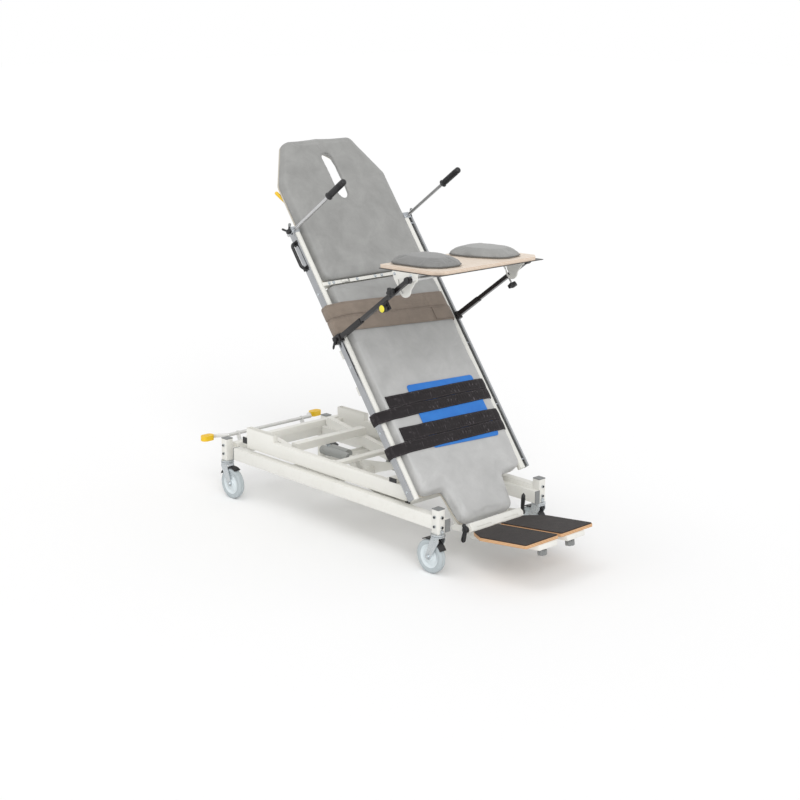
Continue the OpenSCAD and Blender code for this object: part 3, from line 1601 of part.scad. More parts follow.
module star_knob(d, h) {
    difference() {
        cylinder(h = h, d = d);
        for (k = [0:4]) rotate([0, 0, 72*k]) translate([0.62*d, 0, -over]) cylinder(h = h + 2*over, d = 0.4*d);
    }
    cylinder(h = h + star_boss, d = 0.4*d);
}
module tray_knob_near() {
    reach = knob_y - tray_half;
    color(dark) on_top() translate([tray_u, knob_y, tray_n - slot_r]) rotate([-90, 0, 0]) {
        cylinder(h = knob_base_h, d = knob_base_d);
        translate([0, 0, knob_base_h]) star_knob(star_d, star_h);
        translate([0, 0, -reach]) cylinder(h = reach + slot_cut, d = bolt_d);
    }
}
module tray_knob_yellow() {
    color(yellow) on_top() translate([yellow_u, knob_y - ear_in, yellow_n]) rotate([-90, 0, 0]) {
        cylinder(h = yellow_base_h, d = yellow_base_d);
        translate([0, 0, yellow_base_h]) cylinder(h = yellow_h, d = yellow_d);
        translate([0, 0, -yellow_bolt]) cylinder(h = yellow_bolt + slot_cut, d = bolt_d);
    }
}
module tray_knob_far() {
    color(dark) on_top() translate([tray_u - strut_in/2 - seat, -strut_y, far_knob_n]) rotate([0, -90, 0]) {
        translate([0, 0, -far_bolt_in]) cylinder(h = far_bolt_in + far_bolt_out + over, d = bolt_d);
        translate([0, 0, far_bolt_out]) star_knob(star_d, star_h);
    }
}

corner_posts();
chassis_rails();
chassis_beams();
chassis_caps();
chassis_pins();
lift_cylinder();
castor_fork_1();
castor_fork_2();
castor_fork_3();
castor_fork_4();
castor_wheel_1();
castor_wheel_2();
castor_wheel_3();
castor_wheel_4();
brake_bar();
brake_grips();
rear_lift_arms();
lift_rod();
front_lift_arms();
lift_frame_beams();
lift_frame_crosses();
lift_frame_covers();
tilt_cylinder();
tilt_rod();
top_frame_tubes();
top_frame_crosses();
accessory_rails();
lower_mattress();
waist_belt();
leg_straps();
knee_pad();
side_handle();
head_frame();
head_mattress();
release_lever();
gas_cylinder();
gas_rod();
foot_slide();
foot_cross_tube();
foot_carriers();
footplate_near();
footplate_far();
foot_knob_near();
foot_knob_far();
foot_lever_near();
foot_lever_far();
hand_grip_near();
hand_grip_far();
grip_lever_near();
grip_lever_far();
tray_clamps();
tray_clamp_lever_near();
tray_clamp_lever_far();
tray_struts();
tray_board();
tray_frame();
elbow_pads();
tray_knob_near();
tray_knob_yellow();
tray_knob_far();
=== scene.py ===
import json
import math

import bmesh
import bpy
from mathutils import Matrix, Vector, noise


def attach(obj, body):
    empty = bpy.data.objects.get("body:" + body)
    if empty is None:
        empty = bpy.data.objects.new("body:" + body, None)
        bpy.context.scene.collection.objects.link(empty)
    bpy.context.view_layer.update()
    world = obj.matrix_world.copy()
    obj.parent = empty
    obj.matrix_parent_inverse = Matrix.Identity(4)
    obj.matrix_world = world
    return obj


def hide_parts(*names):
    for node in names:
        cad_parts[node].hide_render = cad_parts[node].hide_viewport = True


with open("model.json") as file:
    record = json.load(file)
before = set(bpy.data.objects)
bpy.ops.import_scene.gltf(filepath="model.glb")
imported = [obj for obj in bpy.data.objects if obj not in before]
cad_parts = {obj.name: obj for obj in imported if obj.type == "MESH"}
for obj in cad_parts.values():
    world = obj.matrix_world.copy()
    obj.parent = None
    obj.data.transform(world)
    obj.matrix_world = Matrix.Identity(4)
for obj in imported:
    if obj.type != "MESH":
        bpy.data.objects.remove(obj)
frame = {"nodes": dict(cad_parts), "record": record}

print("frame loaded")
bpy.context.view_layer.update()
nodes = frame["nodes"]
bodyOf = {node: body for body, held in frame["record"]["behaviour"]["bodies"].items() for node in held}
scene = bpy.context.scene

# Shapes are built in millimetres in four frames: stand, top, plates and tray
layout = {
    "tilt": 53.7,  # degrees from level
    "standAt": (-136.06, 0, 0),
    "topAt": (503.06, 0, 330.666),
    "platesOnTop": (-195, 0, 0),
    "plateSlope": 7,
    "trayOnTop": (778, 0, 503),
    "traySlope": 1.6,
}
millimetre = Matrix.Scale(0.001, 4)


def axes(origin, x, y):
    x, y = Vector(x).normalized(), Vector(y).normalized()
    turned = Matrix((x, y, x.cross(y))).transposed().to_4x4()
    turned.translation = Vector(origin)
    return turned


def sloped(origin, degrees):
    a = math.radians(degrees)
    return axes(origin, (math.cos(a), 0, math.sin(a)), (0, 1, 0))


tiltAngle = math.radians(layout["tilt"])
topTurn = axes(layout["topAt"], (-math.cos(tiltAngle), 0, math.sin(tiltAngle)), (0, -1, 0))
onStand = millimetre @ Matrix.Translation(layout["standAt"])
onTop = millimetre @ topTurn
onPlates = millimetre @ sloped(topTurn @ Vector(layout["platesOnTop"]), layout["plateSlope"])
onTray = millimetre @ sloped(topTurn @ Vector(layout["trayOnTop"]), layout["traySlope"])
farSide = Matrix.Scale(-1, 4, (0, 1, 0))


def tone(red, green, blue):
    # a colour given as it looks on a screen, 0 to 255
    def linear(c):
        c /= 255
        return c / 12.92 if c <= 0.04045 else ((c + 0.055) / 1.055) ** 2.4
    return (linear(red), linear(green), linear(blue), 1)


class Tree:
    # a node tree and short ways to add to it
    def __init__(self, tree):
        self.tree = tree

    def join(self, value, socket):
        if isinstance(value, bpy.types.NodeSocket):
            self.tree.links.new(value, socket)
        else:
            socket.default_value = value

    def add(self, kind, inputs=(), output=0, **settings):
        node = self.tree.nodes.new(kind)
        for key, value in settings.items():
            setattr(node, key, value)
        for key, value in dict(inputs).items():
            self.join(value, node.inputs[key])
        return node.outputs[output]

    def sum(self, a, b, operation="ADD"):
        return self.add("ShaderNodeMath", {0: a, 1: b}, operation=operation)


class Finish(Tree):
    # a material, its pattern read from the object's own place or its UV
    def __init__(self, name, rough=0.5, metal=0.0):
        self.material = bpy.data.materials.new(name)
        self.material.use_nodes = True
        super().__init__(self.material.node_tree)
        self.shader = self.tree.nodes["Principled BSDF"]
        self.set("Roughness", rough)
        self.set("Metallic", metal)
        coordinates = self.tree.nodes.new("ShaderNodeTexCoord")
        self.where = coordinates.outputs["Object"]
        self.surface = coordinates.outputs["UV"]

    def set(self, socket, value):
        self.join(value, self.shader.inputs[socket])

    def stretched(self, scale, place=None, source=None):
        inputs = {"Vector": source or self.where, "Scale": scale}
        if place is not None:
            inputs["Rotation"] = place.inverted().to_euler()
        return self.add("ShaderNodeMapping", inputs)

    def inPlace(self, place):
        # the piece's own frame, in millimetres
        at, turn, scale = place.inverted().decompose()
        return self.add("ShaderNodeMapping", {"Vector": self.where, "Location": at,
                                              "Rotation": turn.to_euler(), "Scale": scale})

    def clouds(self, scale, detail=3, rough=0.5, vector=None, warp=0):
        return self.add("ShaderNodeTexNoise", {
            "Vector": vector or self.where, "Scale": scale, "Detail": detail, "Roughness": rough,
            "Distortion": warp})

    def cells(self, scale, vector=None, feature="F1"):
        where = vector or self.where
        return self.add("ShaderNodeTexVoronoi", {"Vector": where, "Scale": scale}, feature=feature)

    def spread(self, value, low, high, newLow, newHigh):
        return self.add("ShaderNodeMapRange", {"Value": value, "From Min": low, "From Max": high,
                                               "To Min": newLow, "To Max": newHigh})

    def blend(self, factor, a, b):
        return self.add("ShaderNodeMix", {0: factor, 6: a, 7: b}, output=2, data_type="RGBA")

    def part(self, vector, axis):
        return self.add("ShaderNodeSeparateXYZ", {0: vector}, output=axis)

    def relief(self, height, strength, distance, under=None):
        inputs = {"Height": height, "Strength": strength, "Distance": distance}
        if under is not None:
            inputs["Normal"] = under
        return self.add("ShaderNodeBump", inputs)


def paintFinish(name, clamps=False):
    # cream paint, with the grip clamps at the rails' head end left bare metal
    f = Finish(name, 0.38)
    # the paint turns darker towards the bottom of the frame, in patches
    lowDarkening = f.spread(f.part(f.where, 2), 0.12, 0.42, 0.35, 0.0)
    worn = f.spread(f.clouds(26, 6, 0.65), 0.52, 0.75, 0, 1)
    colour = f.blend(f.clouds(3, 2), tone(221, 220, 213), tone(230, 229, 224))
    colour = f.blend(f.sum(lowDarkening, worn, "MULTIPLY"), colour, tone(196, 193, 184))
    if clamps:
        bare = f.spread(f.part(f.inPlace(onTop), 0), 1307, 1307.6, 0, 1)
        f.set("Metallic", f.sum(bare, 0.8, "MULTIPLY"))
        colour = f.blend(bare, colour, tone(176, 180, 184))
    f.set("Base Color", colour)
    f.set("Roughness", f.spread(f.clouds(90, 4), 0.3, 0.7, 0.32, 0.46))
    f.set("Normal", f.relief(f.clouds(1100, 2), 0.12, 0.0003))
    return f.material


def metalFinish(name, colour, dull, rough, grain, place=None, stretch=(1, 1, 1), metal=1.0):
    f = Finish(name, rough, metal)
    lines = f.clouds(grain, 4, 0.6, f.stretched(stretch, place))
    f.set("Base Color", f.blend(f.clouds(14, 5, 0.6), colour, dull))
    f.set("Roughness", f.spread(lines, 0.3, 0.7, rough * 0.75, rough * 1.35))
    f.set("Normal", f.relief(lines, 0.06, 0.0002))
    return f.material


def plasticFinish(name, colour, worn, rough, grain=900, strength=0.18):
    f = Finish(name, rough)
    scuffs = f.spread(f.clouds(38, 6, 0.7), 0.55, 0.78, 0, 0.8)
    f.set("Base Color", f.blend(scuffs, colour, worn))
    f.set("Roughness", f.spread(f.clouds(70, 4), 0.3, 0.7, rough * 0.85, rough * 1.2))
    f.set("Normal", f.relief(f.cells(grain), strength, 0.0003))
    return f.material


def upholsteryFinish(name, place, axis, ends, foot, head):
    # leather cloth, its grey turning from one end tone to the other along an axis of the place: a painted
    # light and shade, lighter at one end and darker at the other
    f = Finish(name, 0.5)
    mottle = f.clouds(11, 7, 0.62, warp=0.4)
    fine = f.clouds(75, 5, 0.6)
    # painted light and shade: the cover's grey ramps from the lit end tone to the shaded end tone
    along = f.spread(f.part(f.inPlace(place), axis), ends[0], ends[1], 0, 1)
    pale = f.blend(along, tone(foot + 8, foot + 8, foot + 7), tone(head + 8, head + 8, head + 6))
    deep = f.blend(along, tone(foot - 8, foot - 8, foot - 9), tone(head - 10, head - 10, head - 12))
    colour = f.blend(f.spread(mottle, 0.3, 0.7, 0, 1), deep, pale)
    colour = f.blend(f.spread(fine, 0.35, 0.75, 0, 0.25), colour, deep)
    f.set("Base Color", colour)
    f.set("Roughness", f.spread(mottle, 0.3, 0.7, 0.42, 0.56))
    f.set("Sheen Weight", 0.12)
    grain = f.cells(620, feature="SMOOTH_F1")
    crease = f.clouds(28, 4, 0.55)
    under = f.relief(crease, 0.12, 0.0015)
    f.set("Normal", f.relief(grain, 0.3, 0.0004, under))
    return f.material


def webFinish(name, dark, light, pitch, rough=0.85, sheen=0.2, paintedGlints=0):
    # woven tape: threads run along and across the strap's own UV, in metres
    f = Finish(name, rough)
    threads = []
    for direction, fine, share in (("X", 1, 0.6), ("Y", 0.6, 0.4)):
        wave = f.add("ShaderNodeTexWave", {"Vector": f.surface, "Scale": pitch * fine, "Distortion": 0.5,
                                           "Detail": 2, "Detail Scale": 3},
                     output=1, wave_type="BANDS", bands_direction=direction)
        threads.append(f.sum(wave, share, "MULTIPLY"))
    weave = f.sum(*threads)
    patches = f.clouds(22, 5, 0.6)
    colour = f.blend(f.spread(weave, 0.2, 0.9, 0, 1), dark, light)
    colour = f.blend(f.spread(patches, 0.35, 0.75, 0, 0.4), colour, dark)
    if paintedGlints:
        # light caught on the gathers, short marks across the strap in loose groups
        marks = f.clouds(1, 2, 0.5, f.stretched((190, 45, 1), source=f.surface))
        groups = f.clouds(1, 2, 0.5, f.stretched((13, 30, 1), source=f.surface))
        shine = f.sum(f.spread(marks, 0.56, 0.68, 0, 1), f.spread(groups, 0.5, 0.62, 0, 1), "MULTIPLY")
        colour = f.blend(f.sum(shine, paintedGlints, "MULTIPLY"), colour, tone(150, 142, 148))
    f.set("Base Color", colour)
    f.set("Sheen Weight", sheen)
    f.set("Specular IOR Level", 0.5 if sheen else 0.3)
    fuzz = f.relief(f.clouds(900, 3), 0.2, 0.0004)
    f.set("Normal", f.relief(weave, 0.5, 0.0006, fuzz))
    return f.material


def foamFinish():
    f = Finish("blueFoam", 0.62)
    colour = f.blend(f.clouds(16, 4, 0.6), tone(30, 100, 184), tone(46, 128, 208))
    f.set("Base Color", colour)
    f.set("Roughness", f.spread(f.clouds(60, 3), 0.3, 0.7, 0.55, 0.7))
    f.set("Normal", f.relief(f.cells(900), 0.22, 0.0003))
    return f.material


def plywoodFinish(name, pale, brown, place, low, thick, plies):
    # plies show on the edges by height; the veneer's grain runs along the board
    f = Finish(name, 0.48)
    own = f.inPlace(place)
    height = f.part(own, 2)
    layer = f.spread(height, low, low + thick, 0, plies)
    stripe = f.spread(f.sum(f.sum(layer, 0.5), 2, "PINGPONG"), 0.4, 1.6, 0, 1)
    grain = f.clouds(0.22, 5, 0.6, f.stretched((0.08, 1, 1.6), source=own), 0.8)
    rings = f.clouds(0.035, 3, 0.5, f.stretched((0.12, 1, 1), source=own), 1.5)
    colour = f.blend(stripe, pale, brown)
    colour = f.blend(f.spread(grain, 0.42, 0.68, 0, 0.55), colour, brown)
    f.set("Base Color", f.blend(f.spread(rings, 0.45, 0.7, 0, 0.3), colour, brown))
    f.set("Roughness", f.spread(grain, 0.3, 0.7, 0.4, 0.6))
    f.set("Normal", f.relief(grain, 0.15, 0.0003))
    return f.material


def gripSheetFinish(place):
    # moulded sheet with a small diamond pattern
    f = Finish("antiSlip", 0.72)
    own = f.inPlace(place)
    turned = f.add("ShaderNodeMapping", {"Vector": own, "Rotation": (0, 0, math.radians(45))})
    raised = f.add("ShaderNodeTexBrick", {
        "Vector": turned, "Scale": 0.14, "Color1": (1, 1, 1, 1), "Color2": (0.8, 0.8, 0.8, 1),
        "Mortar": (0, 0, 0, 1), "Mortar Size": 0.12, "Brick Width": 0.9, "Row Height": 0.45})
    worn = f.spread(f.clouds(34, 5, 0.65), 0.45, 0.75, 0, 0.7)
    colour = f.blend(worn, tone(44, 39, 38), tone(76, 69, 66))
    f.set("Base Color", f.blend(f.clouds(300, 2), colour, tone(36, 30, 28)))
    f.set("Normal", f.relief(raised, 0.55, 0.0007))
    return f.material


def threadFinish(name, colour):
    f = Finish(name, 0.7)
    f.set("Base Color", f.blend(f.clouds(400, 2), colour, tuple(c * 0.7 for c in colour[:3]) + (1,)))
    f.set("Normal", f.relief(f.clouds(2600, 2, vector=f.stretched((1, 1, 0.3))), 0.3, 0.0002))
    return f.material


finishes = {
    "paint": paintFinish("framePaint"),
    "crossPaint": paintFinish("crossPaint", True),
    "chrome": metalFinish("brightSteel", tone(214, 214, 214), tone(188, 188, 190), 0.2, 240, onTop,
                          (0.03, 1, 1)),
    "zinc": metalFinish("clearZinc", tone(214, 218, 220), tone(170, 176, 180), 0.26, 160, metal=0.85),
    "rail": metalFinish("railSteel", tone(184, 186, 188), tone(150, 152, 156), 0.2, 240, onTop, (0.03, 1, 1)),
    "satin": metalFinish("satinSteel", tone(226, 226, 224), tone(196, 196, 194), 0.34, 200, metal=0.4),
    "darkSteel": metalFinish("darkSteel", tone(70, 70, 72), tone(50, 50, 52), 0.4, 200),
    "black": plasticFinish("blackPlastic", tone(26, 26, 28), tone(48, 48, 50), 0.42),
    "blackCoat": plasticFinish("blackCoat", tone(30, 28, 29), tone(56, 54, 54), 0.24, 1400, 0.05),
    "motor": plasticFinish("motorPlastic", tone(150, 152, 150), tone(126, 128, 126), 0.45),
    "caps": plasticFinish("greyPlastic", tone(128, 130, 130), tone(150, 150, 148), 0.5),
    "rubber": plasticFinish("tyreRubber", tone(176, 184, 187), tone(152, 160, 164), 0.62, 700, 0.25),
    "disc": plasticFinish("wheelDisc", tone(212, 220, 223), tone(188, 198, 202), 0.36),
    "yellow": plasticFinish("yellowPlastic", tone(232, 190, 30), tone(214, 166, 24), 0.4),
    "lemon": plasticFinish("lemonPlastic", tone(232, 220, 62), tone(212, 196, 50), 0.4),
    "sheet": plasticFinish("darkSheet", tone(52, 50, 50), tone(72, 70, 70), 0.4),
    "board": plasticFinish("mattressBoard", tone(196, 190, 178), tone(176, 168, 154), 0.6, 500, 0.1),
    # painted light: the mattress covers lighter at the foot end, darker towards the head
    "upholstery": upholsteryFinish("upholstery", onTop, 0, (300, 1150), 182, 146),
    # painted light: the pad cover darker towards the near side, lighter towards the far side
    "padCover": upholsteryFinish("padCover", onTray, 1, (-200, 200), 128, 150),
    "piping": threadFinish("padPiping", tone(112, 112, 110)),
    "beltWeb": webFinish("beltWeb", tone(98, 86, 76), tone(166, 152, 138), 120),
    "strapWeb": webFinish("strapWeb", tone(14, 10, 12), tone(36, 29, 32), 150, 0.55, 0.0, 0.42),
    "beltThread": threadFinish("beltThread", tone(60, 52, 46)),
    "strapThread": threadFinish("strapThread", tone(128, 118, 122)),
    "foam": foamFinish(),
    "plateWood": plywoodFinish("plateWood", tone(230, 196, 154), tone(190, 138, 92), onPlates, -24.3, 13, 9),
    "trayWood": plywoodFinish("trayWood", tone(234, 222, 208), tone(206, 182, 160), onTray, 25, 15, 11),
    "antiSlip": gripSheetFinish(onPlates),
}
print("finishes ready")


def addLoft(bm, rings):
    rows = [[bm.verts.new(p) for p in ring] for ring in rings]
    count = len(rows[0])
    for a, b in zip(rows, rows[1:]):
        for i in range(count):
            bm.faces.new((a[i], a[(i + 1) % count], b[(i + 1) % count], b[i]))
    bm.faces.new(list(reversed(rows[0])))
    bm.faces.new(rows[-1])


def circleAt(centre, x, y, radius, sides):
    return [centre + radius * (math.cos(2 * math.pi * k / sides) * x + math.sin(2 * math.pi * k / sides) * y)
            for k in range(sides)]


def addTube(bm, path, radii, sides=20):
    # a round bar along a path, its radius given at each point
    path = [Vector(p) for p in path]
    across = None
    rings = []
    for i, point in enumerate(path):
        along = (path[min(i + 1, len(path) - 1)] - path[max(i - 1, 0)]).normalized()
        if across is None:
            across = along.orthogonal().normalized()
        across = (across - along * across.dot(along)).normalized()
        rings.append(circleAt(point, across, along.cross(across), radii[i], sides))
    addLoft(bm, rings)


def domed(a, b, radiusA, radiusB, steps=5):
    # points and radii of a straight bar with rounded ends
    a, b = Vector(a), Vector(b)
    along = (b - a).normalized()
    start = [(a - along * radiusA * math.cos(t), max(radiusA * math.sin(t), 0.1))
             for t in [math.pi / 2 * k / steps for k in range(steps)]]
    end = [(b + along * radiusB * math.sin(t), max(radiusB * math.cos(t), 0.1))
           for t in [math.pi / 2 * (k + 1) / steps for k in range(steps)]]
    rows = start + [(a, radiusA), (b, radiusB)] + end
    return [r[0] for r in rows], [r[1] for r in rows]


def addTurned(bm, profile, place, sides=48, closed=False):
    # a shape turned about the place's z axis, from (radius, height) points
    loops = []
    for radius, height in profile:
        if radius <= 0:
            loops.append([bm.verts.new(place @ Vector((0, 0, height)))])
        else:
            ring = circleAt(Vector((0, 0, height)), Vector((1, 0, 0)), Vector((0, 1, 0)), radius, sides)
            loops.append([bm.verts.new(place @ p) for p in ring])
    for a, b in zip(loops, loops[1:] + (loops[:1] if closed else [])):
        for i in range(sides):
            j = (i + 1) % sides
            if len(a) == 1:
                bm.faces.new((a[0], b[i], b[j]))
            elif len(b) == 1:
                bm.faces.new((a[i], a[j], b[0]))
            else:
                bm.faces.new((a[i], a[j], b[j], b[i]))
    for loop, last in () if closed else ((loops[0], False), (loops[-1], True)):
        if len(loop) > 1:
            bm.faces.new(loop if last else list(reversed(loop)))


def rounded(bm, edges, width, limited):
    bmesh.ops.bevel(bm, geom=edges, offset=width, segments=2, profile=0.5, affect="EDGES",
                    clamp_overlap=limited)


def addPrism(bm, outline, low, high, place=Matrix.Identity(4), round=0.0):
    # an outline in the place's x y plane, given its thickness along z
    lower = [bm.verts.new(place @ Vector((x, y, low))) for x, y in outline]
    upper = [bm.verts.new(place @ Vector((x, y, high))) for x, y in outline]
    count = len(outline)
    made = [bm.faces.new(list(reversed(lower))), bm.faces.new(upper)]
    for i in range(count):
        made.append(bm.faces.new((lower[i], lower[(i + 1) % count], upper[(i + 1) % count], upper[i])))
    if round:
        edges = {e for f in made for e in f.edges}
        sharp = [e for e in edges if e.calc_face_angle(0) > math.radians(30)]
        rounded(bm, sharp, round, True)


def addBlock(bm, low, high, round=1.0, place=Matrix.Identity(4)):
    addPrism(bm, [(low[0], low[1]), (high[0], low[1]), (high[0], high[1]), (low[0], high[1])],
             low[2], high[2], place, round)


def alongY(x, y, z):
    # the turning axis laid along y
    return axes((x, y, z), (1, 0, 0), (0, 0, -1))


def linked(name, data):
    made = bpy.data.objects.new(name, data)
    scene.collection.objects.link(made)
    return made


def solid(name, bm):
    # an object from built geometry
    mesh = bpy.data.meshes.new(name)
    bm.to_mesh(mesh)
    bm.free()
    return linked(name, mesh)


def coat(mesh, finish):
    mesh.materials.clear()
    mesh.materials.append(finishes[finish])


def makePiece(name, bm, finish, node, place=None, stands=True, sharp=35):
    if place is not None:
        bmesh.ops.transform(bm, matrix=place, verts=bm.verts)
    bmesh.ops.recalc_face_normals(bm, faces=bm.faces)
    for face in bm.faces:
        face.smooth = True
    for edge in bm.edges:
        edge.smooth = len(edge.link_faces) != 2 or edge.calc_face_angle(0) < math.radians(sharp)
    piece = solid(name, bm)
    coat(piece.data, finish)
    return seated(piece, node, stands)


def seated(piece, node, stands=True):
    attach(piece, bodyOf[node])
    if stands:
        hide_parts(node)
    return piece


def softened(node, finish, width, keep=None, name=None):
    # a copy of a solid with its flats joined and its long edges rounded
    bm = bmesh.new()
    bm.from_mesh(nodes[node].data)
    bmesh.ops.remove_doubles(bm, verts=bm.verts, dist=1e-5)
    if keep is not None:
        spare = [f for f in bm.faces if not keep(f.calc_center_median())]
        bmesh.ops.delete(bm, geom=spare, context="FACES")
        bmesh.ops.holes_fill(bm, edges=[e for e in bm.edges if e.is_boundary], sides=0)
    bmesh.ops.dissolve_limit(bm, angle_limit=math.radians(0.5), verts=bm.verts, edges=bm.edges)
    sharp = {e for e in bm.edges if len(e.link_faces) == 2 and e.calc_face_angle(0) > math.radians(32)}
    long = {e for e in sharp if e.calc_length() > 5 * width}
    free = [e for e in long if all(o in long or o not in sharp for v in e.verts for o in v.link_edges)]
    rounded(bm, free, width, False)
    makePiece(name or node + "Shaped", bm, finish, node)


class Repeats(Tree):
    # geometry nodes that set one small form at each point of a guide
    def __init__(self, name, sockets):
        super().__init__(bpy.data.node_groups.new(name, "GeometryNodeTree"))
        face = self.tree.interface
        face.new_socket(name="Geometry", in_out="INPUT", socket_type="NodeSocketGeometry")
        for label, value in sockets.items():
            kind = "NodeSocketInt" if isinstance(value, int) else "NodeSocketFloat"
            face.new_socket(name=label, in_out="INPUT", socket_type=kind).default_value = value
        face.new_socket(name="Material", in_out="INPUT", socket_type="NodeSocketMaterial")
        face.new_socket(name="Geometry", in_out="OUTPUT", socket_type="NodeSocketGeometry")
        self.given = self.tree.nodes.new("NodeGroupInput").outputs

    def facingUp(self, rotation=None):
        # turns an instance's z axis along the points' own "up"
        up = self.add("GeometryNodeInputNamedAttribute", {"Name": "up"}, data_type="FLOAT_VECTOR")
        if rotation is None:
            return self.add("FunctionNodeAlignRotationToVector", {"Vector": up}, axis="Z")
        return self.add("FunctionNodeAlignRotationToVector", {"Vector": up, "Rotation": rotation},
                        axis="Z", pivot_axis="X")

    def scatter(self, points, form, **more):
        # puts the form on the points, in the material that is given
        placed = self.add("GeometryNodeInstanceOnPoints", {"Points": points, "Instance": form, **more})
        real = self.add("GeometryNodeRealizeInstances", {0: placed})
        dressed = self.add("GeometryNodeSetMaterial", {"Geometry": real, "Material": self.given["Material"]})
        self.join(dressed, self.tree.nodes.new("NodeGroupOutput").inputs[0])
        return self.tree


def stitchTree():
    t = Repeats("stitchesAlongLine", {"Spacing": 0.008, "Length": 0.005, "Thickness": 0.001})
    curve = t.add("GeometryNodeMeshToCurve", {0: t.given["Geometry"]})
    spaced = t.add("GeometryNodeResampleCurve", {"Curve": curve, "Length": t.given["Spacing"]},
                   mode="LENGTH")
    bead = t.add("GeometryNodeMeshUVSphere", {"Segments": 6, "Rings": 4, "Radius": 0.5}, "Mesh")
    thick = t.given["Thickness"]
    size = t.add("ShaderNodeCombineXYZ", {0: t.given["Length"], 1: thick, 2: thick})
    tangent = t.add("GeometryNodeInputTangent")
    along = t.add("FunctionNodeAlignRotationToVector", {"Vector": tangent}, axis="X")
    return t.scatter(spaced, bead, Rotation=t.facingUp(along), Scale=size)


def boltTree():
    # a head with its sides given, on a thin washer
    t = Repeats("boltsAtPoints", {"Head": 0.0065, "Height": 0.005, "Washer": 0.009, "Sides": 6})
    joined = t.tree.nodes.new("GeometryNodeJoinGeometry")
    height = t.given["Height"]
    middle = t.add("ShaderNodeMath", {0: height, 1: 0.5, 2: 0.0012}, operation="MULTIPLY_ADD")
    for sides, radius, depth, up in ((t.given["Sides"], "Head", height, middle),
                                     (28, "Washer", 0.0014, 0.0006)):
        body = t.add("GeometryNodeMeshCylinder",
                     {"Vertices": sides, "Radius": t.given[radius], "Depth": depth}, "Mesh")
        lift = t.add("ShaderNodeCombineXYZ", {2: up})
        t.join(t.add("GeometryNodeTransform", {"Geometry": body, "Translation": lift}), joined.inputs[0])
    return t.scatter(t.given["Geometry"], joined.outputs[0], Rotation=t.facingUp())


def ringTree():
    t = Repeats("ringsAtPoints", {"Radius": 0.015, "Thickness": 0.001})
    large, small = (t.add("GeometryNodeCurvePrimitiveCircle", {"Resolution": points, "Radius": t.given[size]})
                    for points, size in ((40, "Radius"), (8, "Thickness")))
    swept = t.add("GeometryNodeCurveToMesh", {"Curve": large, "Profile Curve": small})
    return t.scatter(t.given["Geometry"], swept, Rotation=t.facingUp())


trees = {"stitches": stitchTree(), "bolts": boltTree(), "rings": ringTree()}


def grow(name, tree, values, lines, place, node, finish):
    # lines are lists of (point, up) in the place's frame; single points stand alone
    tree = trees[tree]
    mesh = bpy.data.meshes.new(name + "Line")
    points, ups, edges = [], [], []
    turn = place.to_3x3().normalized()
    for line in lines:
        start = len(points)
        points += [place @ Vector(p) for p, up in line]
        ups += [turn @ Vector(up) for p, up in line]
        edges += [(start + i, start + i + 1) for i in range(len(line) - 1)]
    mesh.from_pydata(points, edges, [])
    upward = mesh.attributes.new("up", "FLOAT_VECTOR", "POINT")
    upward.data.foreach_set("vector", [c for up in ups for c in up])
    guide = linked(name + "Guide", mesh)
    modifier = guide.modifiers.new(name, "NODES")
    modifier.node_group = tree
    values = dict(values, Material=finishes[finish])
    for item in tree.interface.items_tree:
        if item.in_out == "INPUT" and item.name in values:
            modifier[item.identifier] = values[item.name]
    grown = guide.evaluated_get(bpy.context.evaluated_depsgraph_get())
    final = bpy.data.meshes.new_from_object(grown)
    final.name = name
    bpy.data.objects.remove(guide)
    seated(linked(name, final), node, stands=False)


def padRing(outline, rounding, inset, height, steps):
    # the outline drawn in by an inset, with round corners
    ring = []
    count = len(outline)
    for i in range(count):
        a, b, c = (Vector(outline[k % count]) for k in (i - 1, i, i + 1))
        ab, bc = (b - a).normalized(), (c - b).normalized()
        n1, n2 = Vector((-ab.y, ab.x)), Vector((-bc.y, bc.x))
        side = 1 if n1.x * n2.y - n1.y * n2.x > 0 else -1
        corner = b + (n1 + n2) / (1 + n1.dot(n2)) * inset
        radius = max(rounding[i] - side * inset, 0.5)
        centre = corner + (n1 + n2) / (1 + n1.dot(n2)) * side * radius
        for k in range(steps + 1):
            w = (n1 * (1 - k / steps) + n2 * k / steps).normalized()
            p = centre - side * radius * w
            ring.append(Vector((p.x, p.y, height)))
    return ring


def cutSlot(piece, cutter):
    hole = piece.modifiers.new("slot", "BOOLEAN")
    hole.object = cutter
    hole.solver = "EXACT"


def padBlank(name, outline, rounding, levels, steps, place, cutter=None, voxel=0.006):
    # the cushion's blank, remeshed evenly so that it can swell
    bm = bmesh.new()
    addLoft(bm, [padRing(outline, rounding, inset, height, steps) for inset, height in levels])
    bmesh.ops.transform(bm, matrix=place, verts=bm.verts)
    bmesh.ops.recalc_face_normals(bm, faces=bm.faces)
    blank = solid(name, bm)
    if cutter is not None:
        cutSlot(blank, cutter)
    even = blank.modifiers.new("even", "REMESH")
    even.mode = "VOXEL"
    even.voxel_size = voxel
    even.use_smooth_shade = True
    return baked(blank)


def baked(piece):
    ready = piece.evaluated_get(bpy.context.evaluated_depsgraph_get())
    final = bpy.data.meshes.new_from_object(ready)
    final.name = piece.name
    piece.modifiers.clear()
    piece.data = final
    return piece


puffing = {"quality": 4, "mass": 0.25, "stretch": 12, "shear": 8, "bend": 0.6, "frames": 20}


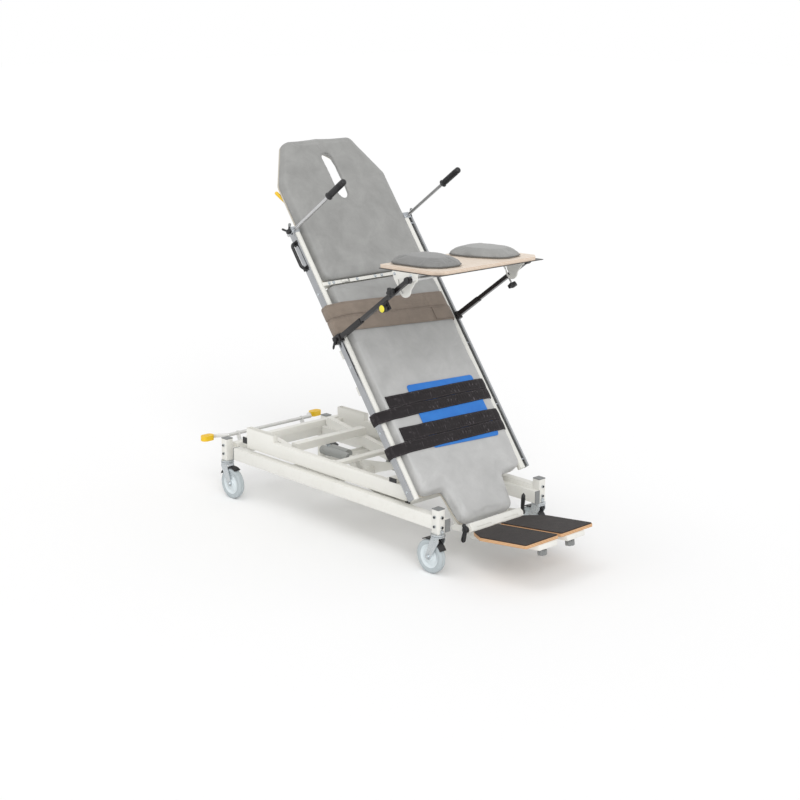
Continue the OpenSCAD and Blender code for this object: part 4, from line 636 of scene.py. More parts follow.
def swell(pad, place, held, pressure, cap, share):
    # pressure puffs the cover; held vertices stay, and share is the part of its move that a point keeps
    start = [v.co.copy() for v in pad.data.vertices]
    back = place.inverted()
    own = [back @ co for co in start]
    group = pad.vertex_groups.new(name="held")
    group.add([i for i, p in enumerate(own) if held(p)], 1.0, "REPLACE")
    cloth = pad.modifiers.new("cloth", "CLOTH")
    settings = cloth.settings
    settings.quality = puffing["quality"]
    settings.mass = puffing["mass"]
    settings.tension_stiffness = settings.compression_stiffness = puffing["stretch"]
    settings.shear_stiffness = puffing["shear"]
    settings.bending_stiffness = puffing["bend"]
    settings.use_pressure = True
    settings.uniform_pressure_force = pressure
    settings.effector_weights.gravity = 0
    settings.vertex_group_mass = "held"
    cloth.collision_settings.use_collision = False
    cloth.point_cache.frame_start = 1
    cloth.point_cache.frame_end = puffing["frames"]
    for step in range(1, puffing["frames"] + 1):
        scene.frame_set(step)
    ready = pad.evaluated_get(bpy.context.evaluated_depsgraph_get())
    moved = [v.co.copy() for v in ready.data.vertices]
    pad.modifiers.remove(cloth)
    pad.vertex_groups.clear()
    scene.frame_set(1)
    for vertex, a, b, p in zip(pad.data.vertices, start, moved, own):
        move = b - a
        if move.length > cap:
            move *= cap / move.length
        vertex.co = a + move * share(p)


def settle(pad, place, change):
    # small forms: creases, crown and dips
    back = place.inverted()
    for vertex in pad.data.vertices:
        vertex.co = place @ change(back @ vertex.co)


def ease(value, low, high):
    t = min(max((value - low) / (high - low), 0), 1)
    return t * t * (3 - 2 * t)


def ripple(p, scale, seed):
    return noise.noise(Vector((p.x * scale + seed, p.y * scale, p.z * scale)))


mattress = {
    "half": 315, "lower": 1030, "tongue": 165, "tongueWidths": (366, 312),
    "gap": 17, "head": 720, "taper": 213, "headEnd": 398, "voxel": 0.0065, "held": -43, "cap": 0.005,
    "pressure": 3.0,
}
# the face slot: its run, its width, and how much wider and longer it is through the board
faceSlot = {"start": 1468, "stop": 1655, "wide": 56, "flare": 58, "past": 22, "levels": (-70, -58, -11, 20)}
# inset and height, of the board and then of the cover up to its crown
boardLevels = [(4.2, -58), (3.2, -57), (3.2, -50.2), (4, -49.4)]
coverLevels = [(5.5, -49), (1.6, -45), (0.6, -32), (1.6, -18), (5, -9), (10.5, -3.6), (19, -0.4), (38, 1.2)]


def strapShare(p):
    # the cover can't rise under the straps and the belt
    low = ease(p.x, 60, 140) * (1 - ease(p.x, 505, 575))
    high = ease(p.x, 690, 752) * (1 - ease(p.x, 945, 985))
    onTopFace = ease(p.z, -14, -2)
    return 1 - max(low, high) * onTopFace


def coverShape(p, seed):
    # soft creases that gather at the rims, none on the board side
    rim = ease(p.z, -46, -20)
    wave = ripple(p, 0.011, seed) * 0.9 + ripple(p, 0.035, seed + 7) * 0.35
    return p + Vector((0, 0, wave * rim * strapShare(p)))


def makeMattress(name, node, outline, rounding, seed, cutter=None):
    pad = padBlank(name, outline, rounding, coverLevels, 8, onTop, cutter, mattress["voxel"])
    swell(pad, onTop, lambda p: p.z < mattress["held"], mattress["pressure"], mattress["cap"],
          strapShare)
    settle(pad, onTop, lambda p: coverShape(p, seed))
    coat(pad.data, "upholstery")
    pad.data.shade_smooth()
    seated(pad, node)


def makeBoard(name, node, outline, rounding, cutter=None):
    bm = bmesh.new()
    addLoft(bm, [padRing(outline, rounding, inset, height, 8) for inset, height in boardLevels])
    board = makePiece(name, bm, "board", node, onTop, stands=False)
    if cutter is not None:
        cutSlot(board, cutter)
        baked(board)


m = mattress
lowerOutline = [(m["lower"], m["half"]), (0, m["half"]), (0, m["tongueWidths"][0] / 2),
                (-m["tongue"], m["tongueWidths"][1] / 2), (-m["tongue"], -m["tongueWidths"][1] / 2),
                (0, -m["tongueWidths"][0] / 2), (0, -m["half"]), (m["lower"], -m["half"])]
headStart, headEnd = m["lower"] + m["gap"], m["lower"] + m["gap"] + m["head"]
headOutline = [(headEnd, m["headEnd"] / 2), (headEnd - m["taper"], m["half"]), (headStart, m["half"]),
               (headStart, -m["half"]), (headEnd - m["taper"], -m["half"]), (headEnd, -m["headEnd"] / 2)]
lowerRounding = [34, 46, 16, 44, 44, 16, 46, 34]
headRounding = [46, 60, 46, 46, 60, 46]


def slotRing(height, flare, past):
    # the slot's outline at a height, wider by the flare and longer at the head
    radius = faceSlot["wide"] / 2 + flare
    ends = ((faceSlot["stop"] - flare + past, -90), (faceSlot["start"] + flare, 90))
    turns = [(x, math.radians(turn + 10 * k)) for x, turn in ends for k in range(19)]
    return [Vector((x + radius * math.cos(a), radius * math.sin(a), height)) for x, a in turns]


def slotCutter():
    bm = bmesh.new()
    deep, board, lip, above = faceSlot["levels"]
    wide = (faceSlot["flare"], faceSlot["past"])
    addLoft(bm, [slotRing(deep, *wide), slotRing(board, *wide), slotRing(lip, 0, 0), slotRing(above, 0, 0)])
    bmesh.ops.transform(bm, matrix=onTop, verts=bm.verts)
    bmesh.ops.recalc_face_normals(bm, faces=bm.faces)
    cutter = solid("slotCutter", bm)
    bpy.context.view_layer.update()
    return cutter


cutter = slotCutter()
makeMattress("lowerCover", "lower_mattress", lowerOutline, lowerRounding, 3)
makeBoard("lowerBoard", "lower_mattress", lowerOutline, lowerRounding)
makeMattress("headCover", "head_mattress", headOutline, headRounding, 11, cutter)
makeBoard("headBoard", "head_mattress", headOutline, headRounding, cutter)
bpy.data.objects.remove(cutter)
print("mattresses ready")

elbow = {
    "outline": [(88, 150), (78, 236), (10, 285), (-180, 290), (-218, 250), (-218, 110), (-180, 52),
                (-60, 62), (60, 110)],
    "rounding": [20, 40, 50, 30, 40, 40, 40, 60, 40],
    "levels": [(7, 40), (2.5, 44), (1, 51), (4, 58), (12, 64.5), (26, 69.5), (46, 72)],
    "voxel": 0.004, "held": 42, "cap": 0.007, "pressure": 4.0, "piping": (0.2, 47.5, 1.6),
}


def makeElbowPad(name, far):
    place = onTray if far else onTray @ farSide
    outline = elbow["outline"]
    pad = padBlank(name, outline, elbow["rounding"], elbow["levels"], 6, place, voxel=elbow["voxel"])
    swell(pad, place, lambda p: p.z < elbow["held"], elbow["pressure"], elbow["cap"], lambda p: 1)
    seed = 5 if far else 21
    settle(pad, place, lambda p: p + Vector((0, 0, ripple(p, 0.02, seed) * 0.8 * ease(p.z, 44, 60))))
    finer = pad.modifiers.new("finer", "SUBSURF")
    finer.levels = finer.render_levels = 1
    baked(pad)
    coat(pad.data, "padCover")
    pad.data.shade_smooth()
    seated(pad, "elbow_pads", stands=far)
    inset, height, thick = elbow["piping"]
    rim = padRing(outline, elbow["rounding"], inset, height, 6)
    bm = bmesh.new()
    addTube(bm, rim + rim[:2], [thick] * (len(rim) + 2), 10)
    makePiece(name + "Piping", bm, "piping", "elbow_pads", place, stands=False)


makeElbowPad("elbowPadFar", True)
makeElbowPad("elbowPadNear", False)
print("elbow pads ready")


def eased(points, spacing):
    # an even path through the points, its corners cut a little
    points = [Vector(p) for p in points]
    for share in (0.16, 0.25):
        cut = [points[0]]
        for a, b in zip(points, points[1:]):
            cut += [a.lerp(b, share), a.lerp(b, 1 - share)]
        points = cut + [points[-1]]
    even = [points[0]]
    left = spacing
    for a, b in zip(points, points[1:]):
        span = (b - a).length
        at = 0.0
        while span - at >= left:
            at += left
            even.append(a.lerp(b, at / span))
            left = spacing
        left -= span - at
    return even + [points[-1]]


class Strap:
    # a flat web laid along a (y, n) path, its edges at u values that slope from the near to the far side
    def __init__(self, path, near, far, thick, spacing=6, seed=0, wander=0.8, crown=0, ridge=0):
        self.path = eased(path, spacing)
        self.near, self.far, self.thick = near, far, thick
        self.seed, self.wander, self.crown, self.ridge = seed, wander, crown, ridge
        self.run = [0.0]
        for a, b in zip(self.path, self.path[1:]):
            self.run.append(self.run[-1] + (b - a).length)

    def at(self, i, share, lift):
        point = self.path[i]
        t = min(max((368 - point.x) / 683, 0), 1)
        edges = [a + (b - a) * t for a, b in zip(self.near, self.far)]
        before, after = self.path[max(i - 1, 0)], self.path[min(i + 1, len(self.path) - 1)]
        along = (after - before).normalized()
        out = Vector((along.y, -along.x))
        u = edges[0] + (edges[1] - edges[0]) * share
        u += noise.noise(Vector((self.run[i] * 0.012, share * 1.5, self.seed))) * self.wander
        puff = noise.noise(Vector((self.run[i] * 0.03, share * 3, self.seed + 4))) * 0.35
        across = math.sin(math.pi * min(max((share - 0.1) / 0.8, 0), 1))
        phase = self.run[i] / 2.6 + 5 * noise.noise(Vector((self.run[i] * 0.02, share * 1.6, self.seed + 9)))
        gathered = 0.2 + 0.8 * ease(-point.x, -200, 40) * (1 - ease(-point.x, 230, 285))
        patch = ease(noise.noise(Vector((self.run[i] * 0.012, share * 2.5, self.seed + 2))), -0.25, 0.3)
        puff += (self.crown + self.ridge * gathered * patch * max(math.sin(phase), 0)) * across ** 0.6
        y, n = point + out * (lift + puff * (lift / self.thick))
        return Vector((u, y, n)), Vector((0, out.x, out.y))

    def build(self, name, finish, node, slot, stands, columns=10):
        bm = bmesh.new()
        uv = bm.loops.layers.uv.new("strapLength")
        wide = self.near[1] - self.near[0]
        low, high = 0.35 / wide, 0.8 / wide
        between = [k / columns for k in range(1, columns)]
        section = [(0, 0.25), (low, 0.0)] + [(share, 0.0) for share in between]
        section += [(1 - low, 0.0), (1, 0.25), (1, 0.75), (1 - high, 1.0)]
        section += [(share, 1.0) for share in reversed(between)] + [(high, 1.0), (0, 0.75)]
        rings = []
        for i in range(len(self.path)):
            rings.append([bm.verts.new(self.at(i, share, up * self.thick)[0]) for share, up in section])
        count = len(section)
        for i in range(len(rings) - 1):
            for k in range(count):
                j = (k + 1) % count
                face = bm.faces.new((rings[i][k], rings[i + 1][k], rings[i + 1][j], rings[i][j]))
                for loop, (row, col) in zip(face.loops, ((i, k), (i + 1, k), (i + 1, j), (i, j))):
                    loop[uv].uv = (self.run[row] * 0.001, section[col][0] * wide * 0.001)
        bm.faces.new(rings[0])
        bm.faces.new(list(reversed(rings[-1])))
        makePiece(name, bm, finish, node, onTop, stands, 50)

    def seam(self, share, first=2, last=-3, lift=None):
        high = self.thick if lift is None else lift
        last = len(self.path) + last
        return [self.at(i, share, high + 0.15) for i in range(first, last)]

    def crossSeam(self, away):
        # a row of stitches across the web at a distance along it
        i = min(range(len(self.run)), key=lambda k: abs(self.run[k] - away))
        return [self.at(i, 0.06 + 0.88 * k / 8, self.thick + 0.15) for k in range(9)]


overRail = [(329, -80), (340, -62), (364, -56), (369.6, -53), (369.6, -46), (369.6, -22), (368.6, -18.4),
            (362, -18), (329, -10), (312, -6), (303, -1.6), (279, 2.6)]
farEdge = [(-279, 2.4), (-297, 1.2), (-307, -3), (-313.8, -8), (-315.4, -20), (-315.4, -34)]
overPad = [(255, 2.4), (176, 2.5), (154, 7.7), (-254, 7.7), (-274, 2.5)]

belt = {
    "thick": 3.0, "bands": [((797, 866.6), (755, 828.4)), ((866.9, 937), (828.8, 902))],
    "stitch": {"Spacing": 0.0075, "Length": 0.0046, "Thickness": 0.0009}, "rows": (150, 158, 640, 648),
    # tape laid double on each band, its end showing as a step
    "laps": [(overRail + [(250, 2.6), (172, 2.6)], (874, 931), (836, 896), 6.2),
             ([(-196, 2.6), (-270, 2.6)] + farEdge, (803, 861), (761, 823), 7.6)],
}
beltStraps = [Strap(overRail + farEdge, near, far, belt["thick"] + 1.6 * (1 - k), seed=k * 9.0, crown=0.8)
              for k, (near, far) in enumerate(belt["bands"])]
seams = []
for k, web in enumerate(beltStraps):
    web.build(f"waistBelt{k + 1}", "beltWeb", "waist_belt", "belt_web", k == 0)
    seams += [web.seam(0.07), web.seam(0.93)] + [web.crossSeam(away) for away in belt["rows"]]
grow("beltStitches", "stitches", belt["stitch"], seams, onTop, "waist_belt", "beltThread")
for k, lapForm in enumerate(belt["laps"]):
    lap = Strap(*lapForm, seed=40 + k)
    lap.build(f"beltLap{k + 1}", "beltWeb", "waist_belt", "belt_web", False, 4)
    grow(f"lapStitches{k + 1}", "stitches", belt["stitch"], [lap.seam(0.08, 1, -2), lap.seam(0.92, 1, -2)],
         onTop, "waist_belt", "beltThread")

leg = {
    "form": {"thick": 2.8, "spacing": 3, "wander": 1.2, "crown": 1.6, "ridge": 1.8},
    "lower": [((356, 408), (346, 396)), ((196, 248), (188, 238))],
    "upper": [((409, 464), (396.3, 446)), ((249, 314), (238.3, 293))],
    "start": [(293, 1.5), (275, 2.3)], "rows": (60, 90),
    "stitch": {"Spacing": 0.007, "Length": 0.0042, "Thickness": 0.0008},
}
seams = []
for k in range(2):
    lower = Strap(overRail + overPad + farEdge, *leg["lower"][k], seed=50 + k, **leg["form"])
    upper = Strap(leg["start"] + overPad + farEdge, *leg["upper"][k], seed=60 + k, **leg["form"])
    lower.build(f"legStrapLower{k + 1}", "strapWeb", "leg_straps", "strap_web", k == 0)
    upper.build(f"legStrapUpper{k + 1}", "strapWeb", "leg_straps", "strap_web", False)
    for web in (lower, upper):
        seams += [web.seam(0.09), web.seam(0.91)] + [web.crossSeam(away) for away in leg["rows"]]
grow("strapStitches", "stitches", leg["stitch"], seams, onTop, "leg_straps", "strapThread")

# blue pad under the leg straps
blue = {
    "outline": [(168, -250), (474, -250), (492, 150), (187, 150)], "rounding": [14] * 4, "low": 1.9,
    "levels": [(1.2, 0), (0.2, 1.2), (0, 2.6), (0.6, 4), (2.4, 4.7), (5, 4.9)],
}
bm = bmesh.new()
addLoft(bm, [padRing(blue["outline"], blue["rounding"], inset, blue["low"] + height, 6)
             for inset, height in blue["levels"]])
pad = makePiece("kneePad", bm, "foam", "knee_pad", onTop, sharp=60)
print("belt, straps and knee pad ready")


castor = {
    "corners": {1: (728, -318), 2: (728, 318), 3: (-728, -318), 4: (-728, 318)},
    "trail": 40, "axleHeight": 75, "top": 185, "plateOut": 18, "plateThick": 4, "plateRadii": (23, 15),
    "plateTop": 14, "plateBend": 27, "bridge": ((22, 21.5), (17.5, 13.8)), "cover": (78.2, 82.6, 17.4),
    "nut": {"Head": 0.0085, "Height": 0.0045, "Washer": 0.0115}, "nutOut": 22.3,
}


def mirrored(profile):
    return profile + [(r, -h) for r, h in reversed(profile)]


tyreProfile = mirrored([(50, -12.5), (58, -15.2), (66, -16), (71, -14.6), (74, -11), (75, -6.5),
                        (74.8, -3.2), (74.2, -2.6)])
discProfile = mirrored([(0, -16.6), (5.98, -16.6), (6.2, -17.7), (17, -17.7), (19.5, -16.8), (21.5, -11.5),
                        (25.5, -9.6), (36, -9.2), (37, -8.4), (39, -8.4), (40, -9.4), (46.5, -10),
                        (49, -12.2), (52, -13.2)])
# radius, and depth under the castor's top
headProfile = [(0, 14), (31, 14), (32, 13), (32, 9.5), (30.5, 8.6), (29, 8.4), (29, 7.2), (31, 7), (31.5, 6),
               (31, 1), (29.5, 0.1), (0, 0.1)]
axleProfile = mirrored([(0, -24.9), (4.4, -24.9), (5.94, -23.6)])


def makeWheel(j):
    x, y = castor["corners"][j]
    lean = -1 if j < 3 else 1
    place = alongY(x + lean * castor["trail"], y, castor["axleHeight"])
    node = f"castor_wheel_{j}"
    bm = bmesh.new()
    addTurned(bm, tyreProfile, place, 72, closed=True)
    makePiece(f"tyre{j}", bm, "rubber", node, onStand, True, 50)
    bm = bmesh.new()
    addTurned(bm, discProfile, place, 56)
    makePiece(f"wheelDisc{j}", bm, "disc", node, onStand, False, 40)


def arcOutline(centre, inner, outer, start, stop, steps=14):
    turns = [math.radians(start + (stop - start) * k / steps) for k in range(steps + 1)]
    return [(centre[0] + outer * math.cos(a), centre[1] + outer * math.sin(a)) for a in turns] + \
           [(centre[0] + inner * math.cos(a), centre[1] + inner * math.sin(a)) for a in reversed(turns)]


def hullOutline(a, b, ra, rb, steps=16):
    # two circles joined by their tangents
    a, b = Vector(a), Vector(b)
    along = math.atan2(b.y - a.y, b.x - a.x)
    lean = math.acos((ra - rb) / (b - a).length)
    first = [along + lean + (2 * math.pi - 2 * lean) * k / steps for k in range(steps + 1)]
    last = [along - lean + 2 * lean * k / steps for k in range(steps + 1)]
    return [(a.x + ra * math.cos(t), a.y + ra * math.sin(t)) for t in first] + \
           [(b.x + rb * math.cos(t), b.y + rb * math.sin(t)) for t in last]


# an outline's plane stood up along the table, its thickness toward y-
upright = axes((0, 0, 0), (1, 0, 0), (0, 0, 1))


def makeFork(j):
    x, y = castor["corners"][j]
    lean = -1 if j < 3 else 1
    ax, az, top = x + lean * castor["trail"], castor["axleHeight"], castor["top"]
    bm = bmesh.new()
    for side in (-1, 1):
        inner = y + side * castor["plateOut"]
        outer = inner + side * castor["plateThick"]
        hull = hullOutline((x, top - castor["plateBend"]), (ax, az), *castor["plateRadii"])
        outline = [p for p in hull if p[1] < top - castor["plateTop"]]
        low, high = sorted((-inner, -outer))
        addPrism(bm, outline, low, high, upright, 0.9)
    (along, across), (low, high) = castor["bridge"]
    addBlock(bm, (x - along, y - across, top - low), (x + along, y + across, top - high), 1.2)
    addTurned(bm, [(r, top - down) for r, down in headProfile], Matrix.Translation((x, y, 0)), 48)
    addTurned(bm, axleProfile, alongY(ax, y, az), 28)
    makePiece(f"castorFork{j}", bm, "zinc", f"castor_fork_{j}", onStand)
    bm = bmesh.new()
    start, stop = (28, 118) if lean < 0 else (62, 152)
    inner, outer, half = castor["cover"]
    addPrism(bm, arcOutline((ax, az), inner, outer, start, stop), -y - half, -y + half, upright, 0.8)
    makePiece(f"threadCover{j}", bm, "black", f"castor_fork_{j}", onStand, False)
    nuts = [[((ax, y + s * castor["nutOut"], az), (0, s, 0))] for s in (-1, 1)]
    grow(f"axleNuts{j}", "bolts", castor["nut"], nuts, onStand, f"castor_fork_{j}", "zinc")


for j in castor["corners"]:
    makeWheel(j)
    makeFork(j)
print("castors ready")

frameParts = [
    ("corner_posts", 2.2), ("chassis_rails", 2.4), ("chassis_beams", 1.8), ("rear_lift_arms", 1.6),
    ("front_lift_arms", 1.4), ("lift_frame_beams", 2.2), ("lift_frame_crosses", 2.0),
    ("top_frame_crosses", 1.3), ("head_frame", 1.2), ("foot_slide", 1.4), ("foot_cross_tube", 1.8),
    ("foot_carriers", 1.6),
]
for node, width in frameParts:
    softened(node, "crossPaint" if node == "top_frame_crosses" else "paint", width * 0.001)
otherParts = [
    ("chassis_caps", "caps", 1.0, "grey_plastic"), ("lift_cylinder", "motor", 1.2, "black_plastic"),
    ("tilt_cylinder", "motor", 1.2, "black_plastic"), ("lift_frame_covers", "black", 0.9, "black_plastic"),
    ("accessory_rails", "rail", 0.9, "bright_steel"), ("tray_clamps", "blackCoat", 0.9, "black_metal"),
    ("tray_struts", "blackCoat", 0.8, "black_metal"), ("foot_knob_near", "caps", 1.0, "grey_plastic"),
    ("foot_knob_far", "caps", 1.0, "grey_plastic"),
]
for node, finish, width, slot in otherParts:
    softened(node, finish, width * 0.001)
plainParts = {
    "top_frame_tubes": "paint", "lift_rod": "chrome", "tilt_rod": "chrome", "gas_rod": "chrome",
    "gas_cylinder": "blackCoat", "brake_bar": "satin", "chassis_pins": "zinc",
}
for node, finish in plainParts.items():
    coat(nodes[node].data, finish)
print("frames ready")

screws = {
    "post": {"Head": 0.0036, "Height": 0.0012, "Washer": 0.0052},
    "gap": {"Head": 0.0055, "Height": 0.004, "Washer": 0.0075, "Sides": 6},
    "rail": {"Head": 0.0048, "Height": 0.0016, "Washer": 0.006, "Sides": 20},
    "gapAcross": (20, 130, 270, 296), "gapAt": (1038.5, -19),
    "nearRail": (40, 320, 640, 1000), "railAt": (368, -35), "postOut": 26,
}
bolts = []
for x, y in castor["corners"].values():
    s, e = (-1 if y < 0 else 1), (-1 if x < 0 else 1)
    for k in (0, 1):
        bolts.append([((x, y + s * screws["postOut"], 219 + 42 * k), (0, s, 0))])
        bolts.append([((x + e * screws["postOut"], y, 215 + 44 * k), (e, 0, 0))])
grow("postBoltSockets", "bolts", screws["post"], bolts, onStand, "chassis_pins", "darkSteel")
u, n = screws["gapAt"]
bolts = [[((u, s * y, n), (0, 0, 1))] for y in screws["gapAcross"] for s in (-1, 1)]
grow("gapPlateBolts", "bolts", screws["gap"], bolts, onTop, "top_frame_crosses", "zinc")
y, n = screws["railAt"]
bolts = [[((u, s * y, n), (0, s, 0))] for u in screws["nearRail"] for s in (-1, 1)]
grow("railScrews", "bolts", screws["rail"], bolts, onTop, "accessory_rails", "zinc")

# grips: a bright rod and a black grip with ribs
grip = {
    "u": 1322, "y": 348, "low": -80, "rod": 7.95, "from": 262,
    "ribs": 11, "ribsFrom": 20, "ribsRun": 84, "rib": {"Radius": 0.0139, "Thickness": 0.0011},
    "swell": [(0, 0), (16, 0), (18, 1.2), (18, 4), (16.4, 5.6), (13.6, 8), (13.4, 20), (14.4, 44), (14.2, 70),
              (13.2, 98), (14.6, 114), (14.2, 121), (11.5, 126), (6.5, 127.8), (0, 128)],
}


def sideOf(near):
    return onTop if near else onTop @ farSide


def makeGrip(name, near):
    place = sideOf(near)
    node = "hand_grip_" + name
    at = Matrix.Translation((grip["u"], grip["y"], 0))
    low, start = grip["low"], grip["from"]
    bm = bmesh.new()
    addTurned(bm, [(0, low), (6.6, low), (grip["rod"], low + 1.4), (grip["rod"], start), (0, start)], at, 32)
    makePiece("gripRod" + name.title(), bm, "chrome", node, place)
    bm = bmesh.new()
    addTurned(bm, [(r, start + h) for r, h in grip["swell"]], at, 40)
    makePiece("gripHandle" + name.title(), bm, "black", node, place, False, 50)
    count = grip["ribs"]
    heights = [start + grip["ribsFrom"] + grip["ribsRun"] * k / (count - 1) for k in range(count)]
    grow("gripRibs" + name.title(), "rings", grip["rib"],
         [[((grip["u"], grip["y"], h), (0, 0, 1))] for h in heights], place, node, "black")


# clamp levers: where the hub turns and sits, its radius and length, and the handle's two ends
levers = {
    "grip": {"centre": (1322, -40), "y": 366.3, "hub": (11, 14), "back": (1342, -16), "tip": (1356, -74),
             "thick": 9},
    "tray": {"centre": (778, -35), "y": 380.3, "hub": (10, 14), "back": (782, -32), "tip": (748, -71),
             "thick": 9},
    "footNear": {"centre": (-195, 0), "y": 169.8, "hub": (14, 18), "back": (-168, 6), "tip": (-236, -46),
                 "thick": 19},
    "footFar": {"centre": (-195, 0), "y": 169.8, "hub": (13, 18), "back": (-201, -4), "tip": (-128, 57),
                "thick": 17},
    "end": ((1341, 373.3, -17), (1344, 373.3, -13), 6.5, 6.5),
}


def leverMesh(centre, y, hub, back, tip, thick):
    # a turned hub and a handle that swells to its tip
    bm = bmesh.new()
    radius, length = hub
    addTurned(bm, [(0, y), (radius - 1.2, y), (radius, y + 1.2), (radius, y + length - 1.6),
                   (radius - 1.6, y + length), (0, y + length)], alongY(centre[0], 0, centre[1]), 32)
    # a bar thicker than its hub sits further out, clear of the face it turns on
    middle = y + max(length / 2, thick * 0.56 + 0.6)
    a, c, b = (Vector((p[0], middle, p[1])) for p in (back, centre, tip))
    points, radii = [], []
    steps = 16
    for k in range(steps + 1):
        t = k / steps
        points.append(a.lerp(c, t * 2) if t < 0.5 else c.lerp(b, t * 2 - 1))
        waist = 0.78 + 0.34 * abs(t - 0.45) / 0.55
        end = min(1, math.sqrt(max(1 - ((t - 0.5) * 2) ** 10, 0.02)))
        radii.append(thick / 2 * waist * end * (1.12 if t > 0.5 else 1))
    addTube(bm, points, radii, 20)
    return bm


def makeLever(name, form, node, place):
    makePiece(name, leverMesh(**levers[form]), "black", node, place, True, 50)


def makeLevers():
    for name in ("Near", "Far"):
        place = sideOf(name == "Near")
        low = name.lower()
        makeLever("gripLever" + name, "grip", "grip_lever_" + low, place)
        bm = bmesh.new()
        addTube(bm, *domed(*levers["end"]), 20)
        makePiece("gripLeverEnd" + name, bm, "caps", "grip_lever_" + low, place, False, 50)
        makeLever("trayClampLever" + name, "tray", "tray_clamp_lever_" + low, place)
        makeLever("footLever" + name, "foot" + name, "foot_lever_" + low, place)


makeGrip("near", True)
makeGrip("far", False)
makeLevers()

# side handle: a bent black bar between two feet
handle = {
    "start": 1125, "stop": 1266, "out": 25, "thick": 15, "y": 368, "n": -35, "round": 20, "foot": (8, 18),
}


def makeHandle():
    y, n, turn = handle["y"], handle["n"], handle["round"]
    along, up = handle["foot"]
    a, b, edge, far = handle["start"] + along, handle["stop"] - along, y + 4, y + handle["out"]
    turns = [math.pi / 2 * k / 8 for k in range(9)]
    path = [(a, edge, n)]
    path += [(a + turn * (1 - math.cos(t)), far - turn * (1 - math.sin(t)), n) for t in turns]
    path += [(b - turn * (1 - math.sin(t)), far - turn * (1 - math.cos(t)), n) for t in turns]
    path.append((b, edge, n))
    bm = bmesh.new()
    addTube(bm, path, [handle["thick"] / 2] * len(path), 24)
    for u in (a, b):
        addBlock(bm, (u - along, y + 0.1, n - up), (u + along, y + 6, n + up), 2)
    makePiece("sideHandle", bm, "black", "side_handle", onTop, True, 50)


# release lever: a turned root, a bent neck and a thicker grip
release = {
    "at": (1440, 240), "n": -72, "rootTop": -58.4, "neck": [(0, 0), (20, 22), (40, 45)],
    "neckThick": [4, 4, 5], "tip": (94, 76), "thick": (7.4, 8.4),
}


def makeRelease():
    (u, y), n, top = release["at"], release["n"], release["rootTop"]
    neck = [(u + a, y + b, n) for a, b in release["neck"]]
    tip = (u + release["tip"][0], y + release["tip"][1], n)
    bm = bmesh.new()
    addTurned(bm, [(0, n - 7), (7.6, n - 7), (9, n - 5.6), (9, top), (0, top)],
              Matrix.Translation((u, y, 0)), 32)
    addTube(bm, neck, release["neckThick"], 20)
    addTube(bm, *domed(neck[-1], tip, *release["thick"]), 24)
    makePiece("releaseLever", bm, "yellow", "release_lever", onTop, True, 50)


# brake pedals: a rounded block with grip ribs on top
pedal = {
    "x": -850, "from": 314, "to": 379, "z": 275, "radii": (21.9, 21.8), "half": 12.5, "ribs": 5, "pitch": 9.5,
    "rib": ((15, 1.4), (11, 13.2)),
}


def makePedals():
    x, y0, y1, z = (pedal[key] for key in ("x", "from", "to", "z"))
    (along, across), (low, high) = pedal["rib"]
    for near in (True, False):
        place = onStand @ farSide if near else onStand
        bm = bmesh.new()
        outline = hullOutline((y0 + 20, x), (y1 - 20, x), *pedal["radii"])
        addPrism(bm, [(b, a) for a, b in outline], z - pedal["half"], z + pedal["half"], round=5)
        for k in range(pedal["ribs"]):
            y = y0 + 14 + pedal["pitch"] * k
            addBlock(bm, (x - along, y - across, z + low), (x + along, y + across, z + high), 0.6)
        makePiece("brakePedal" + ("Near" if near else "Far"), bm, "yellow", "brake_grips", place,
                  near, 40)


makeHandle()
makeRelease()
makePedals()
print("grips, levers and pedals ready")

plate = {"x": (27.5, 377.5), "y": (8, 213), "low": -24.3, "wood": 13, "top": -7.35, "cuts": (88, 52)}


def plateOutline(inset):
    (x0, x1), (y0, y1), (along, across) = plate["x"], plate["y"], plate["cuts"]
    corners = [(x0, y0), (x1, y0), (x1, y1), (x0 + along, y1), (x0, y1 - across)]
    return [tuple(p[:2]) for p in padRing(corners, [4, 10, 10, 30, 12], inset, 0, 5)]


def makePlates():
    board = plate["low"] + plate["wood"]
    for near in (True, False):
        name = "Near" if near else "Far"
        node = "footplate_" + name.lower()
        place = onPlates @ farSide if near else onPlates
        bm = bmesh.new()
        addPrism(bm, plateOutline(0.2), plate["low"], board, round=1.6)
        makePiece("footWood" + name, bm, "plateWood", node, place)
        bm = bmesh.new()
        addPrism(bm, plateOutline(3.2), board - 0.1, plate["top"], round=1.1)
        makePiece("footGrip" + name, bm, "antiSlip", node, place, False)


makePlates()

tray = {
    "x": (-223, 129), "half": 318, "cut": 43, "low": 25, "thick": 15, "sheet": 3, "sheetOut": 4,
    "rod": 7.95, "rodHalf": 368, "cap": [(0, 372.5), (11, 372.5), (13, 374), (13, 379), (11, 381), (0, 381)],
    "bolt": {"Head": 0.005, "Height": 0.003, "Washer": 0.007}, "boltsAt": (-118, -20), "boltOut": (330, 12),
}


def trayOutline(inset):
    (x0, x1), half, cut = tray["x"], tray["half"], tray["cut"]
    corners = [(x0, -half), (x1 - cut, -half), (x1, cut - half), (x1, half - cut), (x1 - cut, half),
               (x0, half)]
    return [tuple(p[:2]) for p in padRing(corners, [8, 10, 10, 10, 10, 8], inset, 0, 4)]


def offRod(p):
    # true where a point of the tray's frame isn't on its cross rod
    return math.hypot(*(onTray.inverted() @ p).xz) > 9


